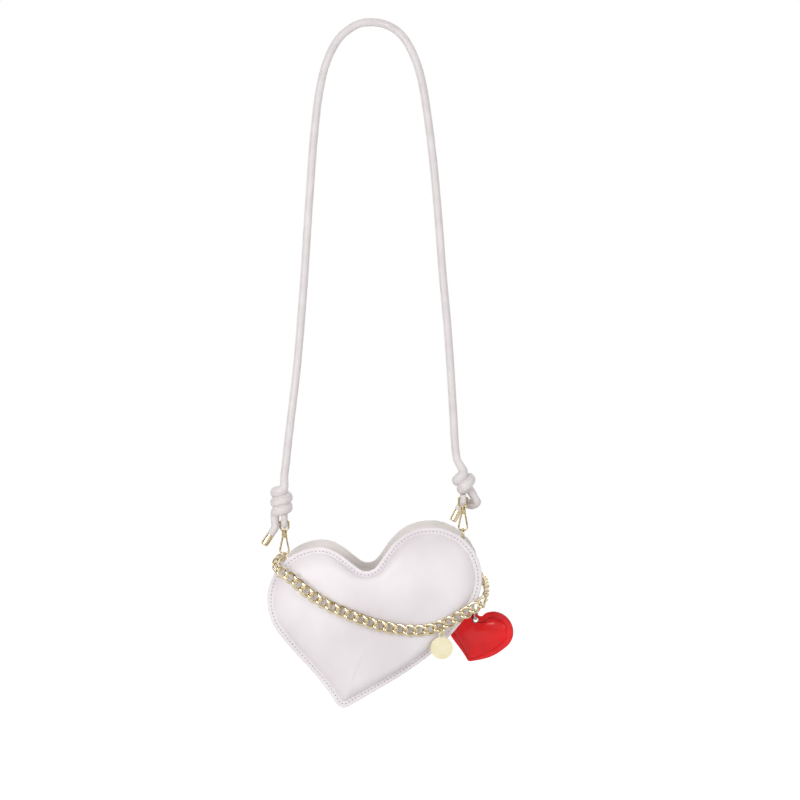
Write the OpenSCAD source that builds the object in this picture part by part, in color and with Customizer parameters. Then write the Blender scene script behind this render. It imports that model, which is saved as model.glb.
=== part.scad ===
// Heart shaped purse hanging from its rope strap.
// The origin is the underside of the strap at its highest point, where a hook or a hand carries it.
// +X points to the right of the bag, +Y to its back and +Z up.

/* [Bag] */
// Width of the heart across both lobes
heart_w = 212; // [170:1:260]
// Depth of the bag over both rims
bag_depth = 60; // [50:1:80]
// How far the strap's plane lies in front of the middle of the depth
hang_offset = 3; // [0:0.5:8]
// Height of the padded dome over the front rim
dome_h = 15; // [8:0.5:20]
// Width of the flat stitched rim round the dome
rim_w = 9; // [8:0.5:14]
// How far the gusset wall stands in from the rim's edge
wall_in = 7; // [5:0.5:8]
// Thickness of the leather
leather_t = 1.6; // [1.2:0.1:2]
// Thickness of the stiff boards and of the gusset's flanges
board_t = 1.4; // [1:0.1:2]
// Thickness of the lining
lining_t = 0.6; // [0.4:0.1:1]
// Height of the notch below the strap's highest point
bag_drop = 538; // [500:1:600]
// Distance of the notch from the strap's plane of hanging, to the right
bag_x = -2; // [-10:1:10]

/* [Zip] */
// Middle of the zip, measured forward from the back of the bag
zip_back = 13; // [12:0.5:18]
// Width of the slot in the gusset that the zip closes
zip_slot = 12; // [11:0.5:13]
// Thickness of the zip tape
tape_t = 0.6; // [0.4:0.1:0.8]
// Width of each row of teeth
teeth_w = 1.5; // [1.3:0.1:1.7]
// Thickness of the rows of teeth
teeth_t = 1.8; // [1.4:0.1:2]
// Length that the zip runs on below the fold at each end
zip_tail = 16; // [14:1:20]
// Length of the slider
slider_l = 9; // [8:0.5:10]
// Length of the pull tab
pull_l = 14; // [10:0.5:18]

/* [Strap hardware] */
// Diameter of the leather rope
rope_d = 8; // [7:0.5:8]
// Radius of the hook's wire
hook_wire = 0.9; // [0.8:0.05:1]
// Height of the hook from its bar to the inside of its bend
hook_h = 32; // [30:0.5:38]
// Radius of the hook's round bend
hook_bend = 4.4; // [4.2:0.1:5]
// Radius of the strap rings to the middle of their wire
ring_r = 4.8; // [4.6:0.1:5.6]
// Radius of the strap rings' wire
ring_wire = 1.1; // [0.9:0.05:1.2]
// Length of the end caps
cap_l = 12.5; // [10:0.5:16]

/* [Chain] */
// Half length of a link to the middle of its wire
link_a = 6.3; // [6.2:0.05:6.4]
// Half width of a link to the middle of its wire
link_b = 4.6; // [4.5:0.05:4.8]
// Radius of the link's wire
link_wire = 0.9; // [0.8:0.05:1]
// Distance between the middles of two links
link_pitch = 9.85; // [9.6:0.05:10]
// Radius of the jump rings to the middle of their wire
jump_r = 3.9; // [3.8:0.05:4.2]
// Radius of the jump rings' wire
jump_wire = 0.9; // [0.7:0.05:0.95]

/* [Charms] */
// Diameter of the round disc charm
disc_d = 22; // [16:0.5:26]
// Thickness of the disc charm
disc_t = 2; // [1.5:0.1:3]
// Width of the small heart charm
charm_w = 70; // [50:1:74]
// Height of the small heart's padding over its border
charm_puff = 4.5; // [2:0.1:5]
// Width of the small heart's flat border
charm_rim = 5; // [4:0.25:7]
// Thickness of each skin of the small heart
charm_skin = 1.2; // [0.8:0.1:1.4]

/* [Hidden] */

// Clearance between pieces that lie against each other
gap = 0.3;
// Clearance round a pin that turns
pin_gap = 0.05;
// Overrun of every cut
cut = 1;
// Reach of the half planes that split the bag
reach = 400;
cream = "#efe9e6";
gold = "#d9c48c";
red = "#c8202a";
beige = "#d8ccb8";

// The heart's outline is four arcs, each a row of centre x, centre y and radius as shares of the
// heart's width, start and end angle, and steps. The notch bends the other way, so its radius is negative.
arc_shares = [
    [0.295, -0.033, 0.238, -35, 142, 15],
    [-0.005, 0.061, -0.061, -38, -125, 6],
    [-0.218, -0.138, 0.250, 92, 216, 20],
    [-0.111, -0.597, 0.045, 209, 301, 5]
];
// Share of the gap between two arcs that each handle of the curve between them takes
handle_shares = [0.33, 0.35, 0.33, 0.42];
curve_steps = 6;
// The point that the dome rises to, as shares of the heart's width
peak_shares = [0.04, -0.23];
dome_ring_shares = [0.985, 0.94, 0.86, 0.74, 0.56, 0.34, 0.14];

arc_keep_share = 0.05;
function arc_inset(k, d, w) =
    arc_shares[k][2] < 0 ? d : min(d, (1 - arc_keep_share) * arc_shares[k][2] * w);
function arc_point(k, a, d, w) =
    let (s = arc_shares[k], bulge = sign(s[2]))
    [s[0] * w, s[1] * w] + (abs(s[2]) * w - bulge * arc_inset(k, d, w)) * [cos(a), sin(a)];
function arc_dir(k, a) = sign(arc_shares[k][2]) * [-sin(a), cos(a)];
function bezier(p, t) =
    pow(1 - t, 3) * p[0] + 3 * t * pow(1 - t, 2) * p[1] + 3 * t * t * (1 - t) * p[2] + pow(t, 3) * p[3];
function bezier_dir(p, t) =
    let (v = pow(1 - t, 2) * (p[1] - p[0]) + 2 * t * (1 - t) * (p[2] - p[1]) + t * t * (p[3] - p[2]))
    v / norm(v);
function joint_curve(k, w) =
    let (n = (k + 1) % 4,
         p = arc_point(k, arc_shares[k][4], 0, w),
         q = arc_point(n, arc_shares[n][3], 0, w),
         h = handle_shares[k] * norm(q - p))
    [p, p + h * arc_dir(k, arc_shares[k][4]), q - h * arc_dir(n, arc_shares[n][3]), q];

// The outline of a heart of width w, drawn in by d from its edge
function heart_points(d, w) = [
    for (k = [0:3])
        each concat(
            [for (i = [0:arc_shares[k][5]])
                arc_point(k, arc_shares[k][3] + (arc_shares[k][4] - arc_shares[k][3]) * i / arc_shares[k][5],
                          d, w)],
            let (c = joint_curve(k, w))
            [for (i = [1:curve_steps - 1])
                let (t = i / curve_steps, v = bezier_dir(c, t),
                     in = (1 - t) * arc_inset(k, d, w) + t * arc_inset((k + 1) % 4, d, w))
                bezier(c, t) - in * [v[1], -v[0]]])
];

// Depths of the bag's layers, front and back
y_back = bag_depth / 2 + hang_offset;
y_front = y_back - bag_depth;
y_flange = y_front + leather_t + board_t;
y_back_flange = y_back - leather_t - board_t;
y_zip = y_back - zip_back;
y_slot_front = y_zip - zip_slot / 2;
y_slot_back = y_zip + zip_slot / 2;
lobe_l = [arc_shares[2][0], arc_shares[2][1]] * heart_w;
lobe_l_r = arc_shares[2][2] * heart_w;
lobe_r = [arc_shares[0][0], arc_shares[0][1]] * heart_w;
lobe_r_r = arc_shares[0][2] * heart_w;

// The fold that the back of the bag opens at: its height below the notch and its slope
fold_share = -0.081;
fold_tilt = 9.6;
fold_v = fold_share * heart_w;

function at_bag(u, v, y) = [bag_x + u, y, v - bag_drop];

// Turns a drawing of the heart into a slab between two depths
module slab(y0, y1) {
    translate([bag_x, y1, -bag_drop])
        rotate([90, 0, 0])
            linear_extrude(y1 - y0) children();
}

module heart_2d(d) {
    polygon(heart_points(d, heart_w));
}

module ring_2d(d0, d1) {
    difference() {
        heart_2d(d0);
        heart_2d(d1);
    }
}

// What lies above the fold line, lowered by a given length
module above_fold(drop) {
    intersection() {
        children();
        translate([0, fold_v - drop])
            rotate(fold_tilt)
                translate([-reach, 0]) square([2 * reach, reach]);
    }
}

module below_fold(drop) {
    intersection() {
        children();
        translate([0, fold_v - drop])
            rotate(fold_tilt)
                translate([-reach, -reach]) square([2 * reach, reach]);
    }
}

// Height of a dome at ring share s of the way from its peak to its foot
function dome_rise(s) = pow(1 - pow(s, 2.4), 0.62);

// Points of a dome: rings of the outline drawn toward the peak, and the peak itself
function dome_rings(w, foot_in, rise, peak) =
    let (foot = heart_points(foot_in, w))
    [for (s = concat([1], dome_ring_shares))
        [for (p = foot) [peak[0] + s * (p[0] - peak[0]), peak[1] + s * (p[1] - peak[1]),
                         s == 1 ? 0 : rise * dome_rise(s)]]];

// Faces that join a stack of rings of n points, from the first to the last
function stack_faces(n, count) = [
    for (k = [0:count - 2], i = [0:n - 1])
        let (j = (i + 1) % n)
        each [[k * n + i, k * n + j, (k + 1) * n + j], [k * n + i, (k + 1) * n + j, (k + 1) * n + i]]
];
function cap_face(n, k, last) = last ? [for (i = [0:n - 1]) k * n + i] : [for (i = [n - 1:-1:0]) k * n + i];
function fan_faces(n, k, tip) = [for (i = [0:n - 1]) [k * n + i, k * n + (i + 1) % n, tip]];

// A closed form from its points and its faces, which are listed counterclockwise from outside
module closed_form(points, faces) {
    polyhedron(points, [for (f = faces) [for (i = [len(f) - 1:-1:0]) f[i]]]);
}

// A padded front: rim and dome outside, and the same form less a wall inside
module padded_shell(w, rim, rise, wall) {
    peak = [peak_shares[0] * w, peak_shares[1] * w];
    outer = concat([[for (p = heart_points(0, w)) [p[0], p[1], 0]]], dome_rings(w, rim, rise, peak));
    inner = dome_rings(w, rim + wall, rise, peak);
    n = len(outer[0]);
    rings = concat(
        [for (k = [len(inner) - 1:-1:0]) [for (p = inner[k]) [p[0], p[1], p[2] - wall]]],
        [[for (p = heart_points(0, w)) [p[0], p[1], -wall]]],
        outer);
    tip_in = len(rings) * n;
    points = concat([for (r = rings) each r],
                    [[peak[0], peak[1], rise - wall], [peak[0], peak[1], rise]]);
    closed_form(points, concat(
        [for (f = fan_faces(n, 0, tip_in)) [f[1], f[0], f[2]]],
        stack_faces(n, len(rings)),
        fan_faces(n, len(rings) - 1, tip_in + 1)));
}

// The filling under a padded shell, flat at the back
module padding(w, rim, rise, wall, slack) {
    peak = [peak_shares[0] * w, peak_shares[1] * w];
    rings = dome_rings(w, rim + wall + slack, rise - slack, peak);
    n = len(rings[0]);
    points = concat([for (r = rings) each [for (p = r) [p[0], p[1], p[2] - wall]]],
                    [[peak[0], peak[1], rise - slack - wall]]);
    closed_form(points, concat(
        [cap_face(n, 0, false)],
        stack_faces(n, len(rings)),
        fan_faces(n, len(rings) - 1, len(rings) * n)));
}

// Where a flat drawing stands in the bag: x to the right, y up and z out of the front
module on_front(y) {
    translate([bag_x, y, -bag_drop]) rotate([90, 0, 0]) children();
}

module front_panel() {
    color(cream) on_front(y_front + leather_t)
        translate([0, 0, leather_t]) padded_shell(heart_w, rim_w, dome_h, leather_t);
}

module front_padding() {
    color(beige) on_front(y_front + leather_t)
        translate([0, 0, leather_t]) padding(heart_w, rim_w, dome_h, leather_t, gap);
}

flange_in = wall_in + leather_t;
board_in = flange_in + gap;
lining_in = flange_in + gap;

module front_board() {
    color(beige) slab(y_front + leather_t + gap / 2, y_flange) heart_2d(board_in);
}

module front_lining() {
    color(beige) slab(y_flange, y_flange + lining_t) heart_2d(lining_in);
}

// The gusset's wall and its turned out flanges, with the slot that the zip closes
module gusset() {
    edge_in = leather_t / 4;
    color(cream) union() {
        slab(y_front + leather_t, y_slot_front) ring_2d(wall_in, flange_in);
        slab(y_slot_front, y_slot_back) below_fold(zip_tail) ring_2d(wall_in, flange_in);
        slab(y_slot_back, y_back - leather_t) below_fold(gap / 2) ring_2d(wall_in, flange_in);
        slab(y_front + leather_t, y_flange) ring_2d(edge_in, flange_in);
        slab(y_back_flange, y_back - leather_t) below_fold(gap / 2) ring_2d(edge_in, flange_in);
    }
}

module gusset_lining() {
    color(beige) union() {
        slab(y_flange + lining_t + gap, y_slot_front - gap) ring_2d(lining_in, lining_in + lining_t);
        slab(y_slot_front - gap, y_back_flange - lining_t - gap)
            below_fold(zip_tail + gap) ring_2d(lining_in, lining_in + lining_t);
    }
}

module back_panel() {
    color(cream) slab(y_back - leather_t, y_back) below_fold(gap / 2) heart_2d(0);
}

module back_board() {
    color(beige) slab(y_back_flange, y_back - leather_t) below_fold(gap / 2) heart_2d(board_in);
}

module back_lining() {
    color(beige) slab(y_back_flange - lining_t, y_back_flange) below_fold(gap / 2) heart_2d(lining_in);
}

// Slip pocket on the back lining: three closed edges and an open top
pocket_w_share = 0.36;
pocket_h_share = 0.24;
pocket_x_share = -0.055;
pocket_gap = 2;
module inner_pocket() {
    pw = pocket_w_share * heart_w;
    ph = pocket_h_share * heart_w;
    y1 = y_back_flange - lining_t;
    color(beige) translate([bag_x + pocket_x_share * heart_w, 0, fold_v - ph - 2 * lining_in - bag_drop]) difference() {
        translate([-pw / 2, y1 - pocket_gap - lining_t, 0]) cube([pw, pocket_gap + lining_t, ph]);
        translate([-pw / 2 + lining_t, y1 - pocket_gap, lining_t])
            cube([pw - 2 * lining_t, pocket_gap + cut, ph + cut]);
    }
}

module back_flap() {
    color(cream) slab(y_back - leather_t, y_back) above_fold(-gap / 2) heart_2d(0);
}

module flap_board() {
    color(beige) slab(y_back_flange, y_back - leather_t) above_fold(-gap / 2) heart_2d(board_in);
}

module flap_lining() {
    color(beige) slab(y_back_flange - lining_t, y_back_flange) above_fold(-gap / 2) heart_2d(lining_in);
}

module flap_gusset() {
    edge_in = leather_t / 4;
    color(cream) union() {
        slab(y_slot_back, y_back - leather_t) above_fold(-gap / 2) ring_2d(wall_in, flange_in);
        slab(y_back_flange, y_back - leather_t) above_fold(-gap / 2) ring_2d(edge_in, flange_in);
    }
}

// The zip: tapes in the middle of the gusset's wall, and the rows of teeth on their edges
tape_in = wall_in + (leather_t - tape_t) / 2;
teeth_in = wall_in + (leather_t - teeth_t) / 2;
row_gap = 1.2;
y_row_front = y_zip - row_gap / 2 - teeth_w;
y_row_back = y_zip + row_gap / 2;

module zip_tape() {
    color(cream) slab(y_slot_front, y_row_front) above_fold(zip_tail - gap) ring_2d(tape_in, tape_in + tape_t);
}

module zip_teeth() {
    color(gold) union() {
        slab(y_row_front, y_row_front + teeth_w) above_fold(zip_tail - gap) ring_2d(teeth_in, teeth_in + teeth_t);
        slab(y_row_back, y_row_back + teeth_w)
            above_fold(zip_tail - gap) below_fold(gap / 2) ring_2d(teeth_in, teeth_in + teeth_t);
    }
}

module zip_tail_tape() {
    color(cream) slab(y_row_back + teeth_w, y_slot_back)
        above_fold(zip_tail - gap) below_fold(gap / 2) ring_2d(tape_in, tape_in + tape_t);
}

module flap_zip_tape() {
    color(cream) slab(y_row_back + teeth_w, y_slot_back) above_fold(-gap / 2) ring_2d(tape_in, tape_in + tape_t);
}

module flap_zip_teeth() {
    color(gold) slab(y_row_back, y_row_back + teeth_w) above_fold(-gap / 2) ring_2d(teeth_in, teeth_in + teeth_t);
}

// The slider runs on the left lobe's arc and rests below the fold
slider_a = 195.5;
slider_r = lobe_l_r - wall_in - leather_t / 2;
slider_plate = 1.2;
slider_room = teeth_t / 2 + 2 * gap;
slider_w = 2 * (teeth_w + gap) + row_gap + 2 * slider_plate;
post_w = row_gap - gap;
tape_room = tape_t / 2 + 2 * gap;
lug_h = 2.6;
lug_w = 1.6;
pull_pin_r = 0.6;
pull_t = 1.2;
pull_w = 5;
pull_pin_out = slider_room + slider_plate + lug_h - pull_pin_r - slider_plate / 2;

// A frame on the left lobe's arc: x outward, y to the back and z along the arc
module on_left_lobe(a, r) {
    translate(at_bag(lobe_l[0], lobe_l[1], y_zip))
        rotate([0, -a, 0]) translate([r, 0, 0]) children();
}

module zip_slider() {
    h = slider_room + slider_plate;
    color(gold) on_left_lobe(slider_a, slider_r) difference() {
        union() {
            translate([-h, -slider_w / 2, -slider_l / 2]) cube([2 * h, slider_w, slider_l]);
            translate([h - slider_plate / 2, -lug_w / 2, -lug_h])
                cube([lug_h + slider_plate / 2, lug_w, 2 * lug_h]);
        }
        difference() {
            translate([-slider_room, -slider_w / 2 + slider_plate, -slider_l / 2 - cut])
                cube([2 * slider_room, slider_w - 2 * slider_plate, slider_l + 2 * cut]);
            translate([-h, -post_w / 2, -slider_l / 2]) cube([2 * h, post_w, slider_l / 3]);
        }
        for (s = [-1, 1])
            translate([0, s * (slider_w - slider_plate) / 2, 0])
                cube([2 * tape_room, slider_plate + gap, slider_l + 2 * cut], center = true);
        translate([pull_pin_out, 0, 0]) rotate([90, 0, 0])
            cylinder(h = lug_w + 2 * cut, r = pull_pin_r + pin_gap, center = true, $fn = 24);
    }
}

// The pull hangs plumb from a pin through the slider's lug
pull_at = at_bag(lobe_l[0] + (slider_r + pull_pin_out) * cos(slider_a),
                 lobe_l[1] + (slider_r + pull_pin_out) * sin(slider_a), y_zip);
module zip_pull() {
    fork = lug_w + 2 * gap;
    color(gold) translate(pull_at) union() {
        rotate([90, 0, 0]) cylinder(h = fork + 2 * pull_t, r = pull_pin_r, center = true, $fn = 24);
        for (s = [-1, 1])
            translate([0, s * (fork + pull_t) / 2, 0]) {
                rotate([90, 0, 0]) cylinder(h = pull_t, r = pull_t, center = true, $fn = 32);
                translate([-pull_t / 2, -pull_t / 2, -pull_w]) cube([pull_t, pull_t, pull_w]);
            }
        difference() {
            translate([-pull_t / 2, -pull_w / 2, -pull_l]) cube([pull_t, pull_w, pull_l - pull_w + pull_t]);
            translate([0, 0, -pull_l + pull_w / 2]) rotate([0, 90, 0])
                cylinder(h = 2 * pull_t, r = pull_w / 4, center = true, $fn = 32);
        }
    }
}

// Strap rings stand upright in tabs on the gusset, over the lobes' shoulders
left_ring_a = 137.3;
right_ring_a = 48;
eye_in = 1.5;
eye_wall = 1.5;
tab_w = 5;
tab_t = 3.2;
tab_pad = 11;
left_eye = [lobe_l[0] + (lobe_l_r - eye_in) * cos(left_ring_a),
            lobe_l[1] + (lobe_l_r - eye_in) * sin(left_ring_a)];
right_eye = [lobe_r[0] + (lobe_r_r - eye_in) * cos(right_ring_a),
             lobe_r[1] + (lobe_r_r - eye_in) * sin(right_ring_a)];
left_ring_at = at_bag(left_eye[0], left_eye[1] + ring_r, 0);
right_ring_at = at_bag(right_eye[0], right_eye[1] + ring_r, 0);

module wire_ring(r, wire) {
    rotate([0, 90, 0]) rotate_extrude($fn = 64) translate([r, 0]) circle(r = wire, $fn = 24);
}

module strap_tab(eye, a, wall_r, ring_at) {
    eye_r = ring_wire + gap + eye_wall;
    stand = lobe_l_r - eye_in - wall_r;
    color(cream) difference() {
        translate(at_bag(eye[0], eye[1], 0)) rotate([0, -a, 0]) union() {
            rotate([90, 0, 0]) cylinder(h = tab_w, r = eye_r, center = true, $fn = 40);
            translate([-stand, -tab_w / 2, -tab_t / 2]) cube([stand, tab_w, tab_t]);
            translate([-stand, -tab_w / 2, -tab_pad / 2]) cube([leather_t, tab_w, tab_pad]);
        }
        translate(ring_at) wire_ring(ring_r, ring_wire + gap);
    }
}

tab_stand = wall_in - eye_in - gap;
module left_strap_tab() {
    strap_tab(left_eye, left_ring_a, lobe_l_r - eye_in - tab_stand, left_ring_at);
}

module right_strap_tab() {
    strap_tab(right_eye, right_ring_a, lobe_l_r - eye_in - tab_stand, right_ring_at);
}

module left_strap_ring() {
    color(gold) translate(left_ring_at) wire_ring(ring_r, ring_wire);
}

module right_strap_ring() {
    color(gold) translate(right_ring_at) wire_ring(ring_r, ring_wire);
}

// Snap hooks hang plumb between the rope loops and the rings. Their own frame has the bar at zero
// and the bend at the bottom, where the hook's wire passes under the ring's.
hook_drop = hook_h + hook_wire;
ring_under = ring_r - ring_wire - hook_wire - gap / 2;
left_bar = left_ring_at + [0, 0, ring_under + hook_drop];
right_bar = right_ring_at + [0, 0, ring_under + hook_drop];
echo(left_bar = left_bar, right_bar = right_bar, left_ring_at = left_ring_at, right_ring_at = right_ring_at);

ear_half = 4.25;
swivel_r = 2.4;
swivel_top = -9;
ear_rise = 2.6;
swivel_h = 2.6;
stem_r = 1.1;
head_r = 1.7;
head_h = 1;
fork_w = 5;
fork_d = 3.6;
fork_h = 4.2;
gate_wire = 0.8;
gate_pin_r = 0.5;
swivel_base = swivel_top - swivel_h;
fork_top = swivel_base - gap;
gate_pin_at = [fork_w / 2 - gate_pin_r - gap, 0, fork_top - fork_h / 2];
bend_z = -hook_drop + hook_bend;

// A round rod between two points
module rod(p, q, r) {
    v = q - p;
    translate(p) rotate([0, acos(v[2] / norm(v)), atan2(v[1], v[0])]) cylinder(h = norm(v), r = r, $fn = 64);
}

module hook_bail(at) {
    ear = [ear_half, 0, swivel_top + ear_rise];
    foot = [swivel_r - hook_wire / 2, 0, swivel_top - hook_wire / 2];
    color(gold) translate(at) difference() {
        union() {
            rod([-ear_half, 0, 0], [ear_half, 0, 0], hook_wire);
            for (s = [-1, 1]) {
                translate([s * ear_half, 0, 0]) sphere(r = hook_wire, $fn = 64);
                translate([s * ear[0], 0, ear[2]]) sphere(r = hook_wire, $fn = 64);
                rod([s * ear_half, 0, 0], [s * ear[0], 0, ear[2]], hook_wire);
                rod([s * ear[0], 0, ear[2]], [s * foot[0], 0, foot[2]], hook_wire);
            }
            translate([0, 0, swivel_base]) cylinder(h = swivel_h, r = swivel_r, $fn = 40);
        }
        translate([0, 0, swivel_base - cut]) cylinder(h = swivel_h + 2 * cut, r = stem_r + pin_gap, $fn = 32);
        translate([0, 0, swivel_top]) cylinder(h = head_h + cut, r = head_r + gap, $fn = 32);
    }
}

module hook_frame(at) {
    color(gold) translate(at) difference() {
        union() {
            translate([0, 0, fork_top - cut]) cylinder(h = swivel_top - fork_top + cut + gap / 2, r = stem_r, $fn = 64);
            translate([0, 0, swivel_top + gap / 2]) cylinder(h = head_h - gap, r = head_r, $fn = 64);
            translate([-fork_w / 2, -fork_d / 2, fork_top - fork_h]) cube([fork_w, fork_d, fork_h]);
            rod([-fork_w / 2 + hook_wire, 0, fork_top - fork_h + hook_wire], [-hook_bend, 0, bend_z], hook_wire);
            translate([-hook_bend, 0, bend_z]) sphere(r = hook_wire + pin_gap, $fn = 64);
            translate([0, 0, bend_z]) rotate([90, 0, 0]) rotate([0, 0, 180])
                rotate_extrude(angle = 180, $fn = 96) translate([hook_bend, 0]) circle(r = hook_wire, $fn = 48);
        }
        translate([-gap, -gate_wire - gap / 2, fork_top - fork_h - cut])
            cube([fork_w, 2 * gate_wire + gap, fork_h + cut - hook_wire / 2]);
        translate([gate_pin_at[0], 0, gate_pin_at[2]]) rotate([90, 0, 0])
            cylinder(h = fork_d + 2 * cut, r = gate_pin_r, center = true, $fn = 24);
    }
}

module hook_gate(at) {
    tip = [hook_bend, 0, bend_z + gap];
    color(gold) translate(at) difference() {
        union() {
            translate([gate_pin_at[0], 0, gate_pin_at[2]]) rotate([90, 0, 0])
                cylinder(h = 2 * gate_wire, r = gate_pin_r + gate_wire, center = true, $fn = 32);
            difference() {
                rod(gate_pin_at, [tip[0], tip[1], tip[2] - gate_wire], gate_wire);
                translate([0, -fork_w, tip[2] - fork_w]) cube([2 * fork_w, 2 * fork_w, fork_w]);
            }
        }
        translate([gate_pin_at[0], 0, gate_pin_at[2]]) rotate([90, 0, 0])
            cylinder(h = 2 * gate_wire + 2 * cut, r = gate_pin_r + pin_gap, center = true, $fn = 24);
    }
}

module gate_pin(at) {
    color(gold) translate(at) translate([gate_pin_at[0], 0, gate_pin_at[2]]) rotate([90, 0, 0])
        cylinder(h = fork_d, r = gate_pin_r, center = true, $fn = 24);
}

module left_hook_bail() { hook_bail(left_bar); }
module left_hook_frame() { hook_frame(left_bar); }
module left_hook_gate() { hook_gate(left_bar); }
module left_gate_pin() { gate_pin(left_bar); }
module right_hook_bail() { hook_bail(right_bar); }
module right_hook_frame() { hook_frame(right_bar); }
module right_hook_gate() { hook_gate(right_bar); }
module right_gate_pin() { gate_pin(right_bar); }

// A tube swept along points, closed at both ends. Each ring is turned to the path, and its first
// spoke stays as close to the last one's as it can.
function unit(v) = v / norm(v);
function path_dir(p, i) =
    unit(i == 0 ? p[1] - p[0] : i == len(p) - 1 ? p[i] - p[i - 1] : unit(p[i + 1] - p[i]) + unit(p[i] - p[i - 1]));
function square_to(v, t) = unit(v - (v * t) * t);
function spokes(p, start) = [
    for (i = 0, v = square_to(start, path_dir(p, 0)); i < len(p);
         i = i + 1, v = i < len(p) ? square_to(v, path_dir(p, i)) : v) v
];
module tube(p, r, sides, start) {
    n = len(p);
    s = spokes(p, start);
    points = [
        for (i = [0:n - 1])
            let (t = path_dir(p, i), b = cross(t, s[i]))
            for (k = [0:sides - 1])
                p[i] + r * (cos(360 * k / sides) * s[i] + sin(360 * k / sides) * b)
    ];
    closed_form(points, concat([cap_face(sides, 0, false)], stack_faces(sides, n), [cap_face(sides, n - 1, true)]));
}

// Points on one smooth curve through a list of points, a number of steps apart
function spline_point(p, i, t) =
    let (a = p[max(i - 1, 0)], b = p[i], c = p[i + 1], d = p[min(i + 2, len(p) - 1)])
    0.5 * ((2 * b) + (c - a) * t + (2 * a - 5 * b + 4 * c - d) * t * t + (3 * b - a - 3 * c + d) * t * t * t);
function spline(p, steps) = concat(
    [for (i = [0:len(p) - 2], k = [0:steps - 1]) spline_point(p, i, k / steps)], [p[len(p) - 1]]);

// The rope's free stretch, from knot to knot, chosen by hand
rope_route = [
    [-83.6, -5.2, -430], [-80.5, -4, -402], [-76, -3, -365], [-72.5, -2, -335], [-69, -1, -295], [-65.5, 0, -250],
    [-62.5, 0, -205], [-59, 0, -155], [-55.5, 0, -110], [-50.5, 0, -68], [-43, 0, -36], [-30.5, 0, -12],
    [-14, 0, 1], [0, 0, 4], [15, 0, 2], [30, 0, -7], [42, 0, -25], [51.5, 0, -53], [58.5, 0, -96],
    [64, 0, -142], [68.5, 0, -192], [72.5, 0, -244], [77, -1, -292], [80.5, -2, -340], [83, -3, -380],
    [84.8, -4.4, -412], [86, -5, -424]
];
rope_r = rope_d / 2;

// A knot is one winding of the rope round its own core. Seen from above it turns clockwise on its way
// down, and both ends bend off to run along the axis.
wind_r = 6.6;
wind_rope = 4;
wind_pitch = 9.7;
lead_bend = 6;
lead_run = 2 * wind_rope;
lead_turn = lead_bend / wind_r * 180 / PI;
function on_wind(a, z) = [wind_r * cos(a), wind_r * sin(a), z];
function wind_path(lead_a, turn) =
    let (from = lead_a - lead_turn, low = -wind_pitch * turn / 360)
    concat(
        [for (k = [2:-1:1]) on_wind(lead_a, lead_bend + lead_run * k / 2)],
        [for (f = [90, 60, 30]) on_wind(from + lead_turn * sin(f), lead_bend * (1 - cos(f)))],
        [for (a = [0:15:turn]) on_wind(from - a, -wind_pitch * a / 360)],
        [for (f = [30, 60, 90]) on_wind(from - turn - lead_turn * sin(f), low - lead_bend * (1 - cos(f)))],
        [for (k = [1, 2]) on_wind(from - turn - lead_turn, low - lead_bend - lead_run * k / 2)]);

// Least distance of a tube's surface to itself, past the stretch that a bend takes
function self_gap(p, r, skip) =
    min([for (i = [0:len(p) - 1 - skip], j = [i + skip:len(p) - 1]) norm(p[i] - p[j])]) - 2 * r;
turn_rings = 24;
left_turn = 730;
right_turn = 480;
left_wind = wind_path(-60, left_turn);
right_wind = wind_path(-50, right_turn);
echo(left_knot_gap = self_gap(left_wind, wind_rope, turn_rings / 2),
     right_knot_gap = self_gap(right_wind, wind_rope, turn_rings / 2));

left_knot_at = [-88.8, 0, -461];
right_knot_at = [91.5, 0, -446];
right_knot_tilt = -30;
function by_right_knot(p) =
    right_knot_at + [p[0] * cos(right_knot_tilt) + p[2] * sin(right_knot_tilt), p[1],
                     p[2] * cos(right_knot_tilt) - p[0] * sin(right_knot_tilt)];

left_wind_at = [for (p = left_wind) left_knot_at + p];
right_wind_at = [for (p = right_wind) by_right_knot(p)];

module place_right_knot() {
    translate(right_knot_at) rotate([0, right_knot_tilt, 0]) children();
}

module left_knot() {
    color(cream) translate(left_knot_at) tube(left_wind, wind_rope, 6, [1, 0, 0]);
}

module right_knot() {
    color(cream) place_right_knot() tube(right_wind, wind_rope, 6, [1, 0, 0]);
}

core_r = wind_r - wind_rope - gap;
module knot_core(turn) {
    low = wind_pitch * turn / 360;
    color(cream) translate([0, 0, -low]) cylinder(h = low, r = core_r, $fn = 24);
}

module left_knot_core() { translate(left_knot_at) knot_core(left_turn); }
module right_knot_core() { place_right_knot() knot_core(right_turn); }

// The rope's loop passes under the hook's bar
loop_rope = 3.1;
loop_r = hook_wire + loop_rope + gap;
left_leg = 7;
right_leg = 3.4;
module rope_loop(at, leg) {
    color(cream) translate(at) rotate([90, 0, 90]) union() {
        rotate([0, 0, 180]) rotate_extrude(angle = 180, $fn = 48) translate([loop_r, 0]) circle(r = loop_rope, $fn = 24);
        for (s = [-1, 1])
            translate([s * loop_r, 0, 0]) rotate([-90, 0, 0]) cylinder(h = leg, r = loop_rope, $fn = 24);
    }
}

module left_rope_loop() { rope_loop(left_bar, left_leg); }
module right_rope_loop() { rope_loop(right_bar, right_leg); }

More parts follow.
